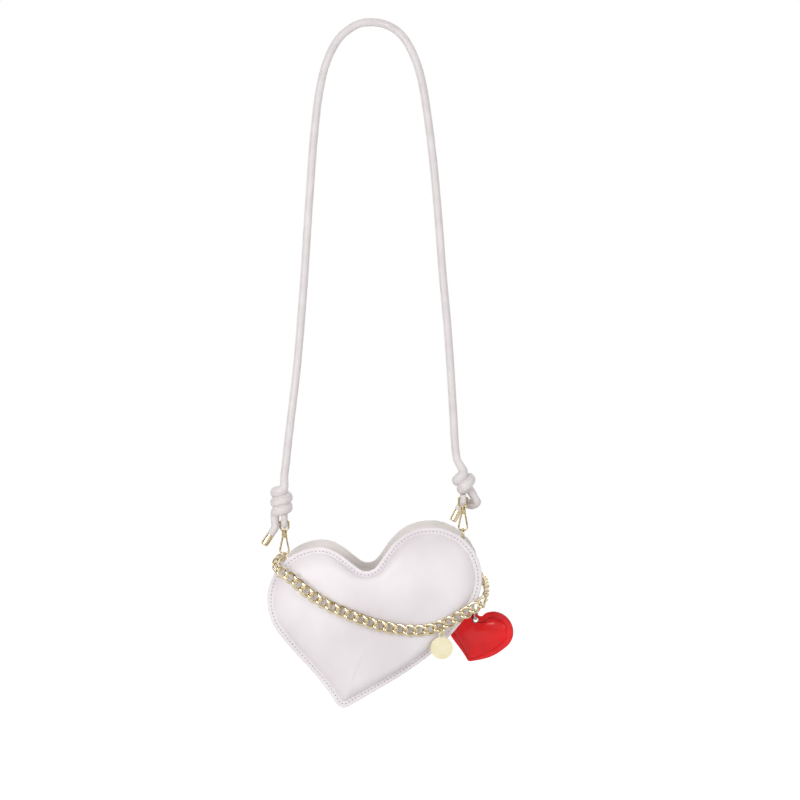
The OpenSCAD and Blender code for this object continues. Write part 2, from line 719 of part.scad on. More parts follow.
// The rope's short tails run from the windings to their end caps
left_tail_route = [[-95.8, -0.7, -499], [-97.2, -0.7, -501.2], [-98.6, -0.7, -503.3]];
right_tail_route = [[107, 9, -473.5], [103, 12.5, -476], [98, 14.5, -475.5], [94, 15, -475.5],
                    [91.3, 15, -478], [90, 15, -480.5]];
straight = 2;
function last_way(p) = unit(p[len(p) - 1] - p[len(p) - 2]);
function tail_line(p, route) =
    let (start = p[len(p) - 1])
    concat([start], spline(concat([start + straight * last_way(p)], route), 3),
           [route[len(route) - 1] + straight * last_way(route)]);
left_tail = tail_line(left_wind_at, left_tail_route);
right_tail = tail_line(right_wind_at, right_tail_route);
tail_r = 3.8;

// The rope's free stretch meets the knots where their windings' ends run straight
left_top = left_wind_at[0];
right_top = right_wind_at[0];
left_up = unit(left_wind_at[0] - left_wind_at[1]);
right_up = unit(right_wind_at[0] - right_wind_at[1]);
strap_line = concat([left_top], spline(concat([left_top + straight * left_up], rope_route,
                                              [right_top + straight * right_up]), 2), [right_top]);
module strap_rope() {
    color(cream) tube(strap_line, rope_r, 10, [1, 0, 0]);
}

module left_rope_tail() {
    color(cream) tube(left_tail, tail_r, 10, [1, 0, 0]);
}

module right_rope_tail() {
    color(cream) tube(right_tail, tail_r, 10, [1, 0, 0]);
}

// An end cap seated on the end of a tail, in line with its last stretch
module end_cap(line) {
    v = last_way(line);
    color(gold) translate(line[len(line) - 1]) rotate([0, acos(v[2]), atan2(v[1], v[0])]) rotate_extrude($fn = 40)
        polygon([[0, 0], [rope_r, 0], [rope_r, cap_l - gap * 3], [rope_r - gap * 3, cap_l], [0, cap_l]]);
}

module left_end_cap() { end_cap(left_tail); }
module right_end_cap() { end_cap(right_tail); }

// The chain's own ring hangs in a tab on the back, below the fold and by the right edge
chain_eye_share = [0.520, -0.040];
chain_ring_r = 7;
chain_stand = 5;
chain_eye = [chain_eye_share[0] * heart_w, chain_eye_share[1] * heart_w];
chain_ring_y = y_back + chain_stand;
chain_ring_at = at_bag(chain_eye[0], chain_eye[1] - chain_ring_r, chain_ring_y);
chain_tab_w = 4;
chain_tab_pad = 10;

module chain_ring() {
    color(gold) translate(chain_ring_at) rotate([0, 0, 90]) wire_ring(chain_ring_r, ring_wire);
}

module chain_tab() {
    eye_r = ring_wire + gap + eye_wall;
    color(cream) difference() {
        translate(at_bag(chain_eye[0], chain_eye[1], chain_ring_y)) union() {
            rotate([0, 90, 0]) cylinder(h = chain_tab_w, r = eye_r, center = true, $fn = 40);
            translate([-chain_tab_w / 2, -chain_stand, -tab_t / 2]) cube([chain_tab_w, chain_stand, tab_t]);
            translate([-chain_tab_pad, -chain_stand, -chain_tab_w]) cube([chain_tab_pad, leather_t, 2 * chain_tab_w]);
        }
        translate(chain_ring_at) rotate([0, 0, 90]) wire_ring(chain_ring_r, ring_wire + gap);
    }
}

// The chain's route between its ends. Each row holds x and y as shares of the heart's width with a
// link on each side, then how far the chain's middle lies in front of the rim as a share of the dome
// with a link on it, then how far it lies behind the rim as a share of the bag's depth.
chain_shares = [
    [-0.3958, 0.0431, 0, 0.2155], [-0.4092, 0.0355, 0, 0.0601], [-0.4025, 0.0201, 0.2704, 0],
    [-0.3757, 0.001, 0.5949, 0], [-0.3354, -0.022, 0.7463, 0], [-0.3009, -0.0498, 0.8112, 0],
    [-0.253, -0.0891, 0.8437, 0], [-0.1658, -0.1428, 0.8869, 0], [-0.0815, -0.1792, 0.941, 0],
    [0.001, -0.2108, 0.9627, 0], [0.0891, -0.2358, 0.9518, 0], [0.1763, -0.2501, 0.8869, 0],
    [0.2693, -0.2501, 0.7247, 0], [0.3565, -0.2214, 0.56, 0], [0.4179, -0.1898, 0.45, 0],
    [0.4763, -0.1581, 0.3, 0], [0.5032, -0.1438, 0.16, 0], [0.5233, -0.1246, 0, 0.026],
    [0.529, -0.1073, 0, 0.1343], [0.5358, -0.0949, 0, 0.2756], [0.5367, -0.0882, 0, 0.4346],
    [0.5367, -0.0824, 0, 0.6007], [0.5348, -0.0795, 0, 0.7667]
];
chain_span = heart_w + 2 * link_b;
// The chain starts on the left strap ring and ends on its own ring, with a jump ring on each. Its
// first and last links stand where a taut jump ring holds them.
jump_seat = jump_r - jump_wire - ring_wire - gap;
jump_reach = jump_seat + jump_r - jump_wire - link_wire - gap;
left_hold = left_ring_at - [0, ring_r, 0];
right_hold_turn = -12;
right_hold = chain_ring_at + chain_ring_r * [cos(right_hold_turn), 0, sin(right_hold_turn)];
left_pull = [-0.37, -0.92, -0.10];
right_pull = [0.15, -0.93, -0.33];
chain_route = concat(
    [left_hold + (jump_reach + link_a - link_pitch / 2) * unit(left_pull)],
    [for (c = chain_shares)
        at_bag(c[0] * chain_span, c[1] * chain_span, y_front - c[2] * (dome_h + link_b) + c[3] * bag_depth)],
    [right_hold + (jump_reach + link_a - link_pitch / 2) * unit(right_pull)]);
chain_steps = 12;
chain_line = spline(chain_route, chain_steps);
chain_far = [
    for (i = 0, s = 0; i < len(chain_line);
         i = i + 1, s = s + (i < len(chain_line) ? norm(chain_line[i] - chain_line[i - 1]) : 0)) s
];
chain_len = chain_far[len(chain_far) - 1];
link_count = round(chain_len / link_pitch);
link_step = chain_len / link_count;
echo(chain_len = chain_len, link_count = link_count, link_step = link_step);

// The place along a list of distances, as an index with a share past it
function find_far(s) =
    let (i = max([for (k = [0:len(chain_far) - 2]) chain_far[k] <= s ? k : 0]))
    i + (s - chain_far[i]) / (chain_far[i + 1] - chain_far[i]);
function blend_at(list, x) = let (i = min(floor(x), len(list) - 2)) list[i] + (x - i) * (list[i + 1] - list[i]);

link_twist = 55;
link_rings = 20;
link_sides = 6;
function link_point(t) =
    let (h = link_twist * cos(t)) [link_a * cos(t), link_b * sin(t) * cos(h), link_b * sin(t) * sin(h)];

// One curb link: a closed tube along a loop that is twisted so that the next link lies flat with it
module link(at, t, out) {
    n = square_to(out, t);
    w = cross(n, t);
    ring = [for (i = [0:link_rings - 1]) link_point(360 * i / link_rings)];
    points = [
        for (i = [0:link_rings - 1])
            let (d = unit(ring[(i + 1) % link_rings] - ring[(i + link_rings - 1) % link_rings]),
                 s = square_to([ring[i][0], ring[i][1], 0], d),
                 b = cross(d, s))
            for (k = [0:link_sides - 1])
                let (p = ring[i] + link_wire * (cos(360 * k / link_sides) * s + sin(360 * k / link_sides) * b))
                at + p[0] * t + p[1] * w + p[2] * n
    ];
    closed_form(points, [
        for (i = [0:link_rings - 1], k = [0:link_sides - 1])
            let (a = i * link_sides, b = ((i + 1) % link_rings) * link_sides, j = (k + 1) % link_sides)
            each [[a + k, a + j, b + j], [a + k, b + j, b + k]]
    ]);
}

function link_far(i) = (i + 0.5) * link_step;
function link_at(i) = blend_at(chain_line, find_far(link_far(i)));
function link_dir(i) =
    unit(blend_at(chain_line, find_far(link_far(i) + link_a / 2)) - blend_at(chain_line, find_far(link_far(i) - link_a / 2)));
function link_out(i) = unit(cross(link_dir(i), [0, 0, 1]));

module chain_links() {
    color(gold) for (i = [0:link_count - 1]) link(link_at(i), link_dir(i), link_out(i));
}

jump_roll = -28;
left_jump_at = left_hold + jump_seat * unit(left_pull);
right_jump_at = right_hold + jump_seat * unit(right_pull);
left_pivot = left_hold - (jump_r - jump_seat) * unit(left_pull);
right_pivot = right_hold - (jump_r - jump_seat) * unit(right_pull);
echo(left_pivot = left_pivot, right_pivot = right_pivot, chain_axis = unit(right_pivot - left_pivot));
echo(left_seat = norm(link_at(0) - left_hold) - link_a - jump_reach,
     right_seat = norm(link_at(link_count - 1) - right_hold) - link_a - jump_reach);

// A ring whose plane holds the direction v and is rolled about it from the level
module ring_along(v, roll, r, wire) {
    yaw = atan2(v[1], v[0]);
    dip = asin(v[2] / norm(v));
    rotate([0, -dip, yaw]) rotate([roll, 0, 0])
        rotate_extrude($fn = 48) translate([r, 0]) circle(r = wire, $fn = 20);
}

module chain_jump_rings() {
    color(gold) {
        translate(left_jump_at) ring_along(left_pull, jump_roll, jump_r, jump_wire);
        translate(right_jump_at) ring_along(right_pull, jump_roll, jump_r, jump_wire);
    }
}

// The disc charm hangs from a link by a small ring
disc_link_share = 0.64;
disc_link = floor(link_count * disc_link_share);
disc_wire = 0.8;
disc_ring_r = 3.2;
disc_eye_r = 3;
disc_side = cross(link_out(disc_link), link_dir(disc_link));
disc_strand = unit(link_a * link_dir(disc_link) - link_b * link_twist * PI / 180 * link_out(disc_link));
disc_hang = link_at(disc_link) - link_b * disc_side;
disc_yaw = atan2(disc_strand[1], disc_strand[0]);
disc_ring_at = disc_hang + [0, 0, link_wire + disc_wire + gap - disc_ring_r];
disc_eye_at = disc_ring_at - [0, 0, disc_ring_r + 1.5 * gap];
disc_at = disc_eye_at - [0, 0, disc_d / 2 + 2 * disc_wire];
echo(disc_hang = disc_hang, pull_at = pull_at, chain_ring_at = chain_ring_at, gate_pin_at = gate_pin_at);

module disc_ring() {
    color(gold) translate(disc_ring_at) rotate([0, 0, disc_yaw]) wire_ring(disc_ring_r, disc_wire);
}

module disc_charm() {
    color("#e8dcae") difference() {
        union() {
            translate(disc_at) rotate([90, 0, 0]) cylinder(h = disc_t, d = disc_d, center = true, $fn = 64);
            translate(disc_eye_at) rotate([90, 0, 0]) cylinder(h = disc_wire, r = disc_eye_r, center = true, $fn = 40);
        }
        translate(disc_eye_at) rotate([90, 0, 0])
            cylinder(h = disc_t + 2 * cut, r = disc_eye_r - 1.2 * disc_wire, center = true, $fn = 24);
    }
}

// The small heart hangs behind the bag's right edge from the chain's ring: first a jump ring, then
// a long link, then an oval ring through the eyelet under its notch
heart_link_h = 26.5;
heart_ring_h = 9.4;
oval_w = 4.8;
heart_ring_yaw = 50;
heart_link_yaw = -20;
heart_ring_wire = 0.9;
heart_tilt = -10;
heart_yaw = -18;
hole_in = 4.6;
hole_r = 2.4;
hole_play = 1;
eyelet_w = 1;
ring_seat = 2 * heart_ring_wire + gap / 2;
heart_hold = chain_ring_at - [0, 0, chain_ring_r];
heart_jump_at = heart_hold - [0, 0, jump_seat];
heart_link_top = heart_jump_at[2] - jump_r + ring_seat;
heart_ring_top = heart_link_top - heart_link_h + ring_seat;
heart_hole = [heart_hold[0], heart_hold[1], heart_ring_top - heart_ring_h + heart_ring_wire + hole_play - hole_r];
echo(heart_hold = heart_hold, heart_hole = heart_hole, disc_yaw = disc_yaw);

module heart_jump_ring() {
    color("#dcdcdc") translate(heart_jump_at) wire_ring(jump_r, jump_wire);
}

// An upright oval of wire, with its height and width measured between the middles of the wire
module oval_ring(top, h, yaw) {
    bend = oval_w / 2;
    run = h - oval_w;
    translate([heart_hold[0], heart_hold[1], top - h / 2]) rotate([90, 0, yaw]) union() {
        for (s = [0, 1])
            rotate([0, 0, 180 * s]) translate([0, run / 2, 0]) {
                rotate_extrude(angle = 180, $fn = 48) translate([bend, 0]) circle(r = heart_ring_wire, $fn = 20);
                translate([bend, 0, 0]) rotate([90, 0, 0]) cylinder(h = run, r = heart_ring_wire, $fn = 20);
            }
    }
}

module heart_link() {
    color("#dcdcdc") oval_ring(heart_link_top, heart_link_h, heart_link_yaw);
}

module heart_ring() {
    color("#dcdcdc") oval_ring(heart_ring_top, heart_ring_h, heart_ring_yaw);
}

// The small heart's own frame: x to its right, y up, z out of its front, and its hole at zero
module on_heart() {
    translate(heart_hole) rotate([0, 0, heart_yaw]) rotate([90, 0, 0]) rotate([0, 0, heart_tilt])
        translate([0, hole_in, 0]) children();
}

module heart_hole_cut() {
    translate([0, -hole_in, 0]) cylinder(h = 4 * charm_rim, r = hole_r + eyelet_w, center = true, $fn = 32);
}

module heart_front() {
    color(red) on_heart() difference() {
        translate([0, 0, charm_skin]) padded_shell(charm_w, charm_rim, charm_puff, charm_skin);
        heart_hole_cut();
    }
}

// The filling stops short of the hole
filling_in = hole_in + hole_r + eyelet_w - charm_rim;
module heart_filling() {
    color(beige) on_heart() translate([0, 0, charm_skin])
        padding(charm_w, charm_rim + filling_in, charm_puff, charm_skin, gap);
}

module heart_back() {
    color(red) on_heart() difference() {
        translate([0, 0, -charm_skin]) linear_extrude(charm_skin) polygon(heart_points(0, charm_w));
        heart_hole_cut();
    }
}

module heart_eyelet() {
    lip = charm_skin / 4;
    color("#dcdcdc") on_heart() translate([0, -hole_in, 0]) difference() {
        cylinder(h = 2 * charm_skin, r = hole_r + eyelet_w - gap / 4, center = true, $fn = 32);
        cylinder(h = 2 * charm_skin + 2 * cut, r = hole_r, center = true, $fn = 32);
    }
}

strap_rope();
left_knot();
left_knot_core();
left_rope_loop();
left_rope_tail();
left_end_cap();
right_knot();
right_knot_core();
right_rope_loop();
right_rope_tail();
right_end_cap();
left_hook_bail();
left_hook_frame();
left_hook_gate();
left_gate_pin();
right_hook_bail();
right_hook_frame();
right_hook_gate();
right_gate_pin();
left_strap_ring();
left_strap_tab();
right_strap_ring();
right_strap_tab();
front_panel();
front_padding();
front_board();
front_lining();
gusset();
gusset_lining();
back_panel();
back_board();
back_lining();
inner_pocket();
back_flap();
flap_board();
flap_lining();
flap_gusset();
flap_zip_tape();
flap_zip_teeth();
zip_tape();
zip_teeth();
zip_tail_tape();
zip_slider();
zip_pull();
chain_tab();
chain_ring();
chain_links();
chain_jump_rings();
disc_charm();
disc_ring();
heart_front();
heart_filling();
heart_back();
heart_eyelet();
heart_ring();
heart_link();
heart_jump_ring();
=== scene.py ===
"""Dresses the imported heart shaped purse: padded leather heart, rope strap, gilt fittings, chain and charms."""
import logging
import math
from dataclasses import dataclass, field
from enum import Enum
from typing import Callable, Sequence

import bmesh
import bpy
import numpy as np
from mathutils import Matrix, Vector


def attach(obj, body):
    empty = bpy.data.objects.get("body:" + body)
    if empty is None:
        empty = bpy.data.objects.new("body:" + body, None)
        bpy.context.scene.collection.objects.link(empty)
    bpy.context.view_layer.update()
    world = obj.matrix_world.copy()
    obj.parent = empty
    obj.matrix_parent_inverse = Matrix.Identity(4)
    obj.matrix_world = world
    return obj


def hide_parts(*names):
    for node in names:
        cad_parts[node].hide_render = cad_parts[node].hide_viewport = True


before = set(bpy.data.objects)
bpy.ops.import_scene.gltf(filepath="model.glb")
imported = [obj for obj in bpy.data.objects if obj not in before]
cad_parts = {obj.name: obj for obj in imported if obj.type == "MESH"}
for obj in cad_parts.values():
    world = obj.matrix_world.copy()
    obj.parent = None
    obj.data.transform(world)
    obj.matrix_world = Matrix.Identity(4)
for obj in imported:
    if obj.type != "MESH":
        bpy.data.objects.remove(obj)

logging.basicConfig(level=logging.INFO, format="%(message)s")
LOG = logging.getLogger("purse")
MM = 0.001
SOLID_WELD = 0.000002  # metres: closes the seams between a solid's triangles
LOFT_WELD = 0.0000005  # metres: keeps the closest rings of a loft apart
CLOTH_FRAMES = 20
WHITE = (1, 1, 1, 1)
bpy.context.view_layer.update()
Point = Sequence[float]
Piece = bpy.types.Object
Socket = bpy.types.NodeSocket
Tree = bpy.types.NodeTree


# ---------------------------------------------------------------- shaders


def linear(code: str, share: float = 1.0) -> tuple[float, float, float, float]:
    """Turns an sRGB hex colour to linear light.

    Args:
        code: The colour as "#rrggbb".
        share: How much of its light is kept.

    Returns:
        Red, green, blue and an alpha of 1.
    """
    parts = [int(code[i:i + 2], 16) / 255 for i in (1, 3, 5)]
    return (*[(c / 12.92 if c <= 0.04045 else ((c + 0.055) / 1.055) ** 2.4) * share for c in parts], 1.0)


def feed(node: bpy.types.Node, inputs: dict) -> bpy.types.Node:
    """Sets a node's inputs.

    Args:
        node: The node.
        inputs: A value, or the socket that feeds it, by the input's name or place.

    Returns:
        The same node.
    """
    for key, value in inputs.items():
        if isinstance(value, Socket):
            node.id_data.links.new(value, node.inputs[key])
        else:
            node.inputs[key].default_value = value
    return node


def add_node(tree: Tree, kind: str, inputs: dict | None = None, **settings: object) -> bpy.types.Node:
    """Adds a node with its settings and inputs.

    Args:
        tree: The node tree.
        kind: The node's type name after "ShaderNode".
        inputs: What its inputs are set to or fed by.
        **settings: Its properties.

    Returns:
        The new node.
    """
    node = tree.nodes.new("ShaderNode" + kind)
    for key, value in settings.items():
        setattr(node, key, value)
    return feed(node, inputs or {})


def ramp(tree: Tree, fac: Socket, *stops: tuple[float, tuple]) -> Socket:
    """Adds a colour ramp.

    Args:
        tree: The node tree.
        fac: The socket that drives it.
        *stops: Places and linear colours.

    Returns:
        The colour's socket.
    """
    node = add_node(tree, "ValToRGB", {"Fac": fac})
    points = node.color_ramp.elements
    while len(points) < len(stops):
        points.new(0.5)
    for point, (place, colour) in zip(points, stops):
        point.position, point.color = place, colour
    return node.outputs["Color"]


@dataclass(frozen=True)
class Pattern:
    """A material's node tree, with short calls for what the finishes share."""

    tree: Tree
    place: Socket

    def noise(self, scale: float, detail: float, rough: float = 0.5) -> Socket:
        """Cloudy noise, its scale in lumps a metre."""
        return add_node(self.tree, "TexNoise", {"Scale": scale, "Detail": detail, "Roughness": rough,
                                                "Vector": self.place}).outputs["Fac"]

    def waves(self, scale: float, way: str, distortion: float) -> Socket:
        """Parallel bands that run along one way."""
        return add_node(self.tree, "TexWave", {"Scale": scale, "Distortion": distortion, "Vector": self.place},
                        bands_direction=way).outputs["Fac"]

    def sum(self, operation: str, *terms: float | Socket, clamp: bool = False) -> Socket:
        """A calculation on numbers and sockets."""
        return add_node(self.tree, "Math", dict(enumerate(terms)), operation=operation, use_clamp=clamp).outputs[0]

    def gloss(self, fac: Socket, middle: float, less: float, more: float) -> Socket:
        """A roughness that wanders below and above its middle."""
        return add_node(self.tree, "MapRange", {"Value": fac, "From Min": 0.3, "From Max": 0.7, "To Min": middle - less,
                                                "To Max": middle + more}).outputs["Result"]

    def bump(self, height: Socket, strength: float, depth_mm: float) -> Socket:
        """The surface's normal over a height."""
        return add_node(self.tree, "Bump", {"Height": height, "Strength": strength,
                                            "Distance": depth_mm * MM}).outputs["Normal"]


@dataclass(frozen=True)
class Finish:
    """A surface finish: its material's name, a slot name that is not used, its colour, and how its shader is built."""

    name: str
    slot: str
    colour: str

    def build(self) -> None:
        """Makes the material."""
        material = bpy.data.materials.new(self.name)
        material.use_nodes = True
        tree = material.node_tree
        place = add_node(tree, "TexCoord").outputs["Object"]
        feed(tree.nodes["Principled BSDF"], self.dress(Pattern(tree, place)))
        material.diffuse_color = linear(self.colour)

    def dress(self, p: Pattern) -> dict:
        """Gives the shader's inputs; each finish has its own.

        Args:
            p: The material's node tree.

        Returns:
            Values and sockets by the input's name.
        """
        raise NotImplementedError

    def tone(self, p: Pattern, fac: Socket, low: float, high: float, dark: tuple) -> Socket:
        """Runs from a darker tone to the finish's colour."""
        return ramp(p.tree, fac, (low, dark), (high, linear(self.colour)))


@dataclass(frozen=True)
class SmoothLeather(Finish):
    """Polyurethane coated leather, calendered smooth: a satin skin with a faint fine pebble and soft tone drift."""

    shade: str = "#e0d9dc"
    roughness: float = 0.42
    grain_mm: float = 0.9
    depth: float = 0.05

    def dress(self, p: Pattern) -> dict:
        """Tone drift over about 60 mm, pebble of under a millimetre, and a roughness that wanders with its creases.

        Args:
            p: The material's node tree.

        Returns:
            Values and sockets by the input's name.
        """
        drift = p.noise(16.0, 3.0, 0.45)
        pebble = add_node(p.tree, "TexVoronoi", {"Scale": 1.0 / (self.grain_mm * MM), "Smoothness": 0.7,
                                                 "Randomness": 0.9, "Vector": p.place}, feature="SMOOTH_F1")
        crease = p.noise(260.0, 4.0, 0.6)
        height = p.sum("MULTIPLY_ADD", pebble.outputs["Distance"], 0.55, crease)
        return {"Base Color": self.tone(p, drift, 0.30, 0.62, linear(self.shade)),
                "Roughness": p.gloss(crease, self.roughness, 0.05, 0.07), "Normal": p.bump(height, self.depth, 0.4),
                "IOR": 1.48, "Sheen Weight": 0.08, "Sheen Roughness": 0.5}


@dataclass(frozen=True)
class RopeLeather(Finish):
    """The same coated leather, cut to a strip and sewn round a cord: its seam runs along it with fine stitches."""

    shade: str = "#cfc6c6"
    stitch_mm: float = 3.2

    def dress(self, p: Pattern) -> dict:
        """A seam groove and pucker along the cord on its UV, where U is the length in metres and V goes round.

        Args:
            p: The material's node tree.

        Returns:
            Values and sockets by the input's name.
        """
        flat = add_node(p.tree, "SeparateXYZ", {"Vector": add_node(p.tree, "TexCoord").outputs["UV"]}).outputs
        seam = p.sum("COMPARE", flat["Y"], 0.5, 0.02)
        beat = p.sum("FRACT", p.sum("MULTIPLY", flat["X"], 1.0 / (self.stitch_mm * MM)))
        line = p.sum("MULTIPLY", seam, p.sum("LESS_THAN", beat, 0.66))
        drift = p.noise(60.0, 3.0)
        amount = p.sum("MULTIPLY_ADD", line, 0.35, drift, clamp=True)
        tone = add_node(p.tree, "Mix", {0: amount, 6: linear(self.colour), 7: linear(self.shade)}, data_type="RGBA")
        groove = p.sum("MULTIPLY_ADD", seam, -0.8, drift)
        return {"Base Color": tone.outputs[2], "Normal": p.bump(groove, 0.15, 0.4), "Roughness": 0.46,
                "Sheen Weight": 0.08}


@dataclass(frozen=True)
class PatentLeather(Finish):
    """Patent leather: pigment under a poured clear lacquer, so it is deep in colour and mirrors the lamps softly."""

    shade: str = "#dc1118"

    def dress(self, p: Pattern) -> dict:
        """Deep red with a lacquer coat whose surface swells over about 20 mm."""
        swell = p.noise(45.0, 1.5)
        return {"Base Color": self.tone(p, swell, 0.35, 0.6, linear(self.shade)),
                "Coat Normal": p.bump(swell, 0.04, 1.0), "Roughness": 0.45, "Specular IOR Level": 0.1,
                "Coat Weight": 0.55, "Coat Roughness": 0.1}


@dataclass(frozen=True)
class PlatedMetal(Finish):
    """Die cast zinc, tumbled and plated: bright, with hair scratches and a slightly uneven gloss."""

    shade: str
    roughness: float = 0.2
    spread: float = 350.0
    metal: float = 1.0

    def dress(self, p: Pattern) -> dict:
        """Tone and roughness wander over a few millimetres, and a fine noise stands for the tumbling marks."""
        drift = p.noise(self.spread, 3.0)
        return {"Base Color": self.tone(p, drift, 0.34, 0.6, linear(self.shade)),
                "Roughness": p.gloss(drift, self.roughness, 0.06, 0.08),
                "Normal": p.bump(p.noise(2500.0, 2.0), 0.04, 0.2), "Metallic": self.metal}


@dataclass(frozen=True)
class Thread(Finish):
    """Waxed polyester thread: two plies twisted, a little darker than the leather."""

    twist_mm: float = 0.6

    def dress(self, p: Pattern) -> dict:
        """A slanting ply every 0.6 mm."""
        ply = p.waves(0.16 / (self.twist_mm * MM), "DIAGONAL", 0.3)
        return {"Base Color": self.tone(p, ply, 0.1, 0.6, linear(self.colour, 0.7)), "Normal": p.bump(ply, 0.3, 0.2),
                "Roughness": 0.6}


@dataclass(frozen=True)
class WovenCloth(Finish):
    """Plain woven polyester: warp and weft every 0.8 mm, drawn coarse enough to show."""

    thread_mm: float = 0.8

    def dress(self, p: Pattern) -> dict:
        """Two crossed wave patterns make the over and under of the weave.

        Args:
            p: The material's node tree.

        Returns:
            Values and sockets by the input's name.
        """
        scale = 0.32 / (self.thread_mm * MM)
        weave = p.sum("MAXIMUM", p.waves(scale, "X", 0.2), p.waves(scale, "Z", 0.2))
        return {"Base Color": self.tone(p, weave, 0.3, 0.9, linear(self.colour, 0.72)),
                "Normal": p.bump(weave, 0.25, 0.3), "Roughness": 0.85, "Sheen Weight": 0.2}


@dataclass(frozen=True)
class PlainFill(Finish):
    """Stiffening board or foam, cut and glued in: matt, with a coarse speckle."""

    speckle_mm: float = 1.2

    def dress(self, p: Pattern) -> dict:
        """Fibre or cell speckle."""
        cells = p.noise(1.0 / (self.speckle_mm * MM), 3.0)
        return {"Base Color": self.tone(p, cells, 0.35, 0.6, linear(self.colour, 0.8)),
                "Normal": p.bump(cells, 0.3, 0.4), "Roughness": 0.95}


class Look(Enum):
    """Every finish of the purse."""

    LEATHER = SmoothLeather("smooth_coated_leather", "cream_leather", "#ede7ea")
    WALL = SmoothLeather("side_wall_leather", "cream_leather", "#e8e3e1", "#dcd7d5", 0.52)
    ROPE = RopeLeather("rope_covering_leather", "cream_rope", "#ece6e6")
    RED = PatentLeather("lacquered_patent_leather", "red_patent", "#ee161b")
    RED_EDGE = SmoothLeather("painted_red_edge", "red_patent", "#8e1216", "#7a0d12", 0.5)
    GOLD = PlatedMetal("tumbled_pale_gold_plate", "gold_metal", "#f8edd2", "#e6d5a8", 0.18)
    # The hooks' gold is a darker copy of the fittings' plate: painted shade and painted dark reflection for the thin
    # wire.
    WIRE = PlatedMetal("hook_gold_with_painted_shade", "gold_metal", "#d8c698", "#ab9362")
    COIN = PlatedMetal("brushed_champagne_plate", "gold_metal", "#f7efd0", "#f1e6be", 0.42, 70.0, 0.55)
    SILVER = PlatedMetal("polished_nickel_plate", "silver_metal", "#dcdad8", "#bdbcbc")
    THREAD = Thread("waxed_grey_thread", "cream_leather", "#b0abb0")
    CLOTH = WovenCloth("woven_polyester_lining", "cream_cloth", "#d9cfc6")
    FOAM = PlainFill("cut_foam", "white_foam", "#f2f0ec")
    BOARD = PlainFill("stiffening_board", "grey_board", "#b9b4ab")

    def material(self) -> bpy.types.Material:
        """Gives the finish's material."""
        return bpy.data.materials[self.value.name]


# ---------------------------------------------------------------- modelling


def pick(*objects: Piece) -> None:
    """Selects these objects only, the last one active."""
    for other in bpy.context.selected_objects:
        other.select_set(False)
    for ob in objects:
        ob.select_set(True)
    bpy.context.view_layer.objects.active = objects[-1] if objects else None


def apply_modifier(ob: Piece, kind: str, **settings: object) -> None:
    """Adds a modifier to a mesh and applies it.

    Args:
        ob: The mesh object.
        kind: The modifier's type.
        **settings: Its properties.
    """
    pick(ob)
    modifier = ob.modifiers.new(kind.title(), kind)
    for key, value in settings.items():
        setattr(modifier, key, value)
    bpy.ops.object.modifier_apply(modifier=modifier.name)


def edit(ob: Piece, *steps: Callable[[], object]) -> None:
    """Runs operators on the whole of a mesh in edit mode.

    Args:
        ob: The mesh object.
        *steps: Calls that run one operator each.
    """
    pick(ob)
    bpy.ops.object.mode_set(mode="EDIT")
    bpy.ops.mesh.select_all(action="SELECT")
    for step in steps:
        step()
    bpy.ops.object.mode_set(mode="OBJECT")


def triangulate() -> None:
    """Cuts the selected faces to triangles."""
    bpy.ops.mesh.quads_convert_to_tris(ngon_method="BEAUTY")


def shade(ob: Piece, degrees: float = 40.0) -> Piece:
    """Shades smooth, with edges sharper than an angle kept crisp."""
    pick(ob)
    bpy.ops.object.shade_smooth_by_angle(angle=math.radians(degrees))
    return ob


def polar(r: float, degrees: float, z: float = 0.0) -> Vector:
    """A point at an angle round the Z axis."""
    a = math.radians(degrees)
    return Vector((r * math.cos(a), r * math.sin(a), z))


def loft(name: str, rings: Sequence[Sequence[Point]], closed: bool = False) -> Piece:
    """Extrudes a ring of points through a row of other rings.

    Args:
        name: The object's name.
        rings: Rings with the same number of points.
        closed: Whether the last ring joins the first, as in a hoop; an open row is filled at both ends.

    Returns:
        The mesh object, its faces outwards.
    """
    rows = [[Vector(p) for p in ring] for ring in rings]
    if closed:
        rows.append(rows[0])
    bpy.ops.mesh.primitive_circle_add(vertices=len(rows[0]), radius=1, fill_type="NOTHING")
    ob = bpy.context.active_object
    ob.name = ob.data.name = name
    for vertex, point in zip(ob.data.vertices, rows[0]):
        vertex.co = point
    pick(ob)
    bpy.ops.object.mode_set(mode="EDIT")
    bpy.ops.mesh.select_all(action="SELECT")
    if not closed:
        bpy.ops.mesh.edge_face_add()
        triangulate()
        bpy.ops.mesh.select_all(action="SELECT")
    for k in range(1, len(rows)):
        (bpy.ops.mesh.extrude_edges_move if closed else bpy.ops.mesh.extrude_region_move)()
        form = bmesh.from_edit_mesh(ob.data)
        before = {tuple(round(c, 7) for c in p): i for i, p in enumerate(rows[k - 1])}
        for vertex in [v for v in form.verts if v.select]:
            vertex.co = rows[k][before[tuple(round(c, 7) for c in vertex.co)]]
        bmesh.update_edit_mesh(ob.data)
    bpy.ops.object.mode_set(mode="OBJECT")
    return clean(ob)


def clean(ob: Piece) -> Piece:
    """Merges a closed mesh's doubles and points its faces outwards."""
    edit(ob, lambda: bpy.ops.mesh.remove_doubles(threshold=LOFT_WELD),
         lambda: bpy.ops.mesh.normals_make_consistent(inside=False))
    return in_order(ob)


def in_order(ob: Piece) -> Piece:
    """Puts a mesh's edges and faces in one order, so that every run gives the same mesh.

    Args:
        ob: The mesh object.

    Returns:
        The same object.
    """
    form = bmesh.new()
    form.from_mesh(ob.data)
    for parts in (form.edges, form.faces):
        parts.sort(key=lambda part: float(np.polyval(sorted(v.index for v in part.verts)[:3], len(form.verts))))
    form.to_mesh(ob.data)
    form.free()
    return ob


def round_rings(profile: Sequence[tuple[float, float]], place: Matrix, sides: int) -> list[list[Vector]]:
    """Turns a profile of radius and height pairs about the Z axis of a place."""
    return [[place @ polar(r, 360 * i / sides, z) for i in range(sides)] for r, z in profile]


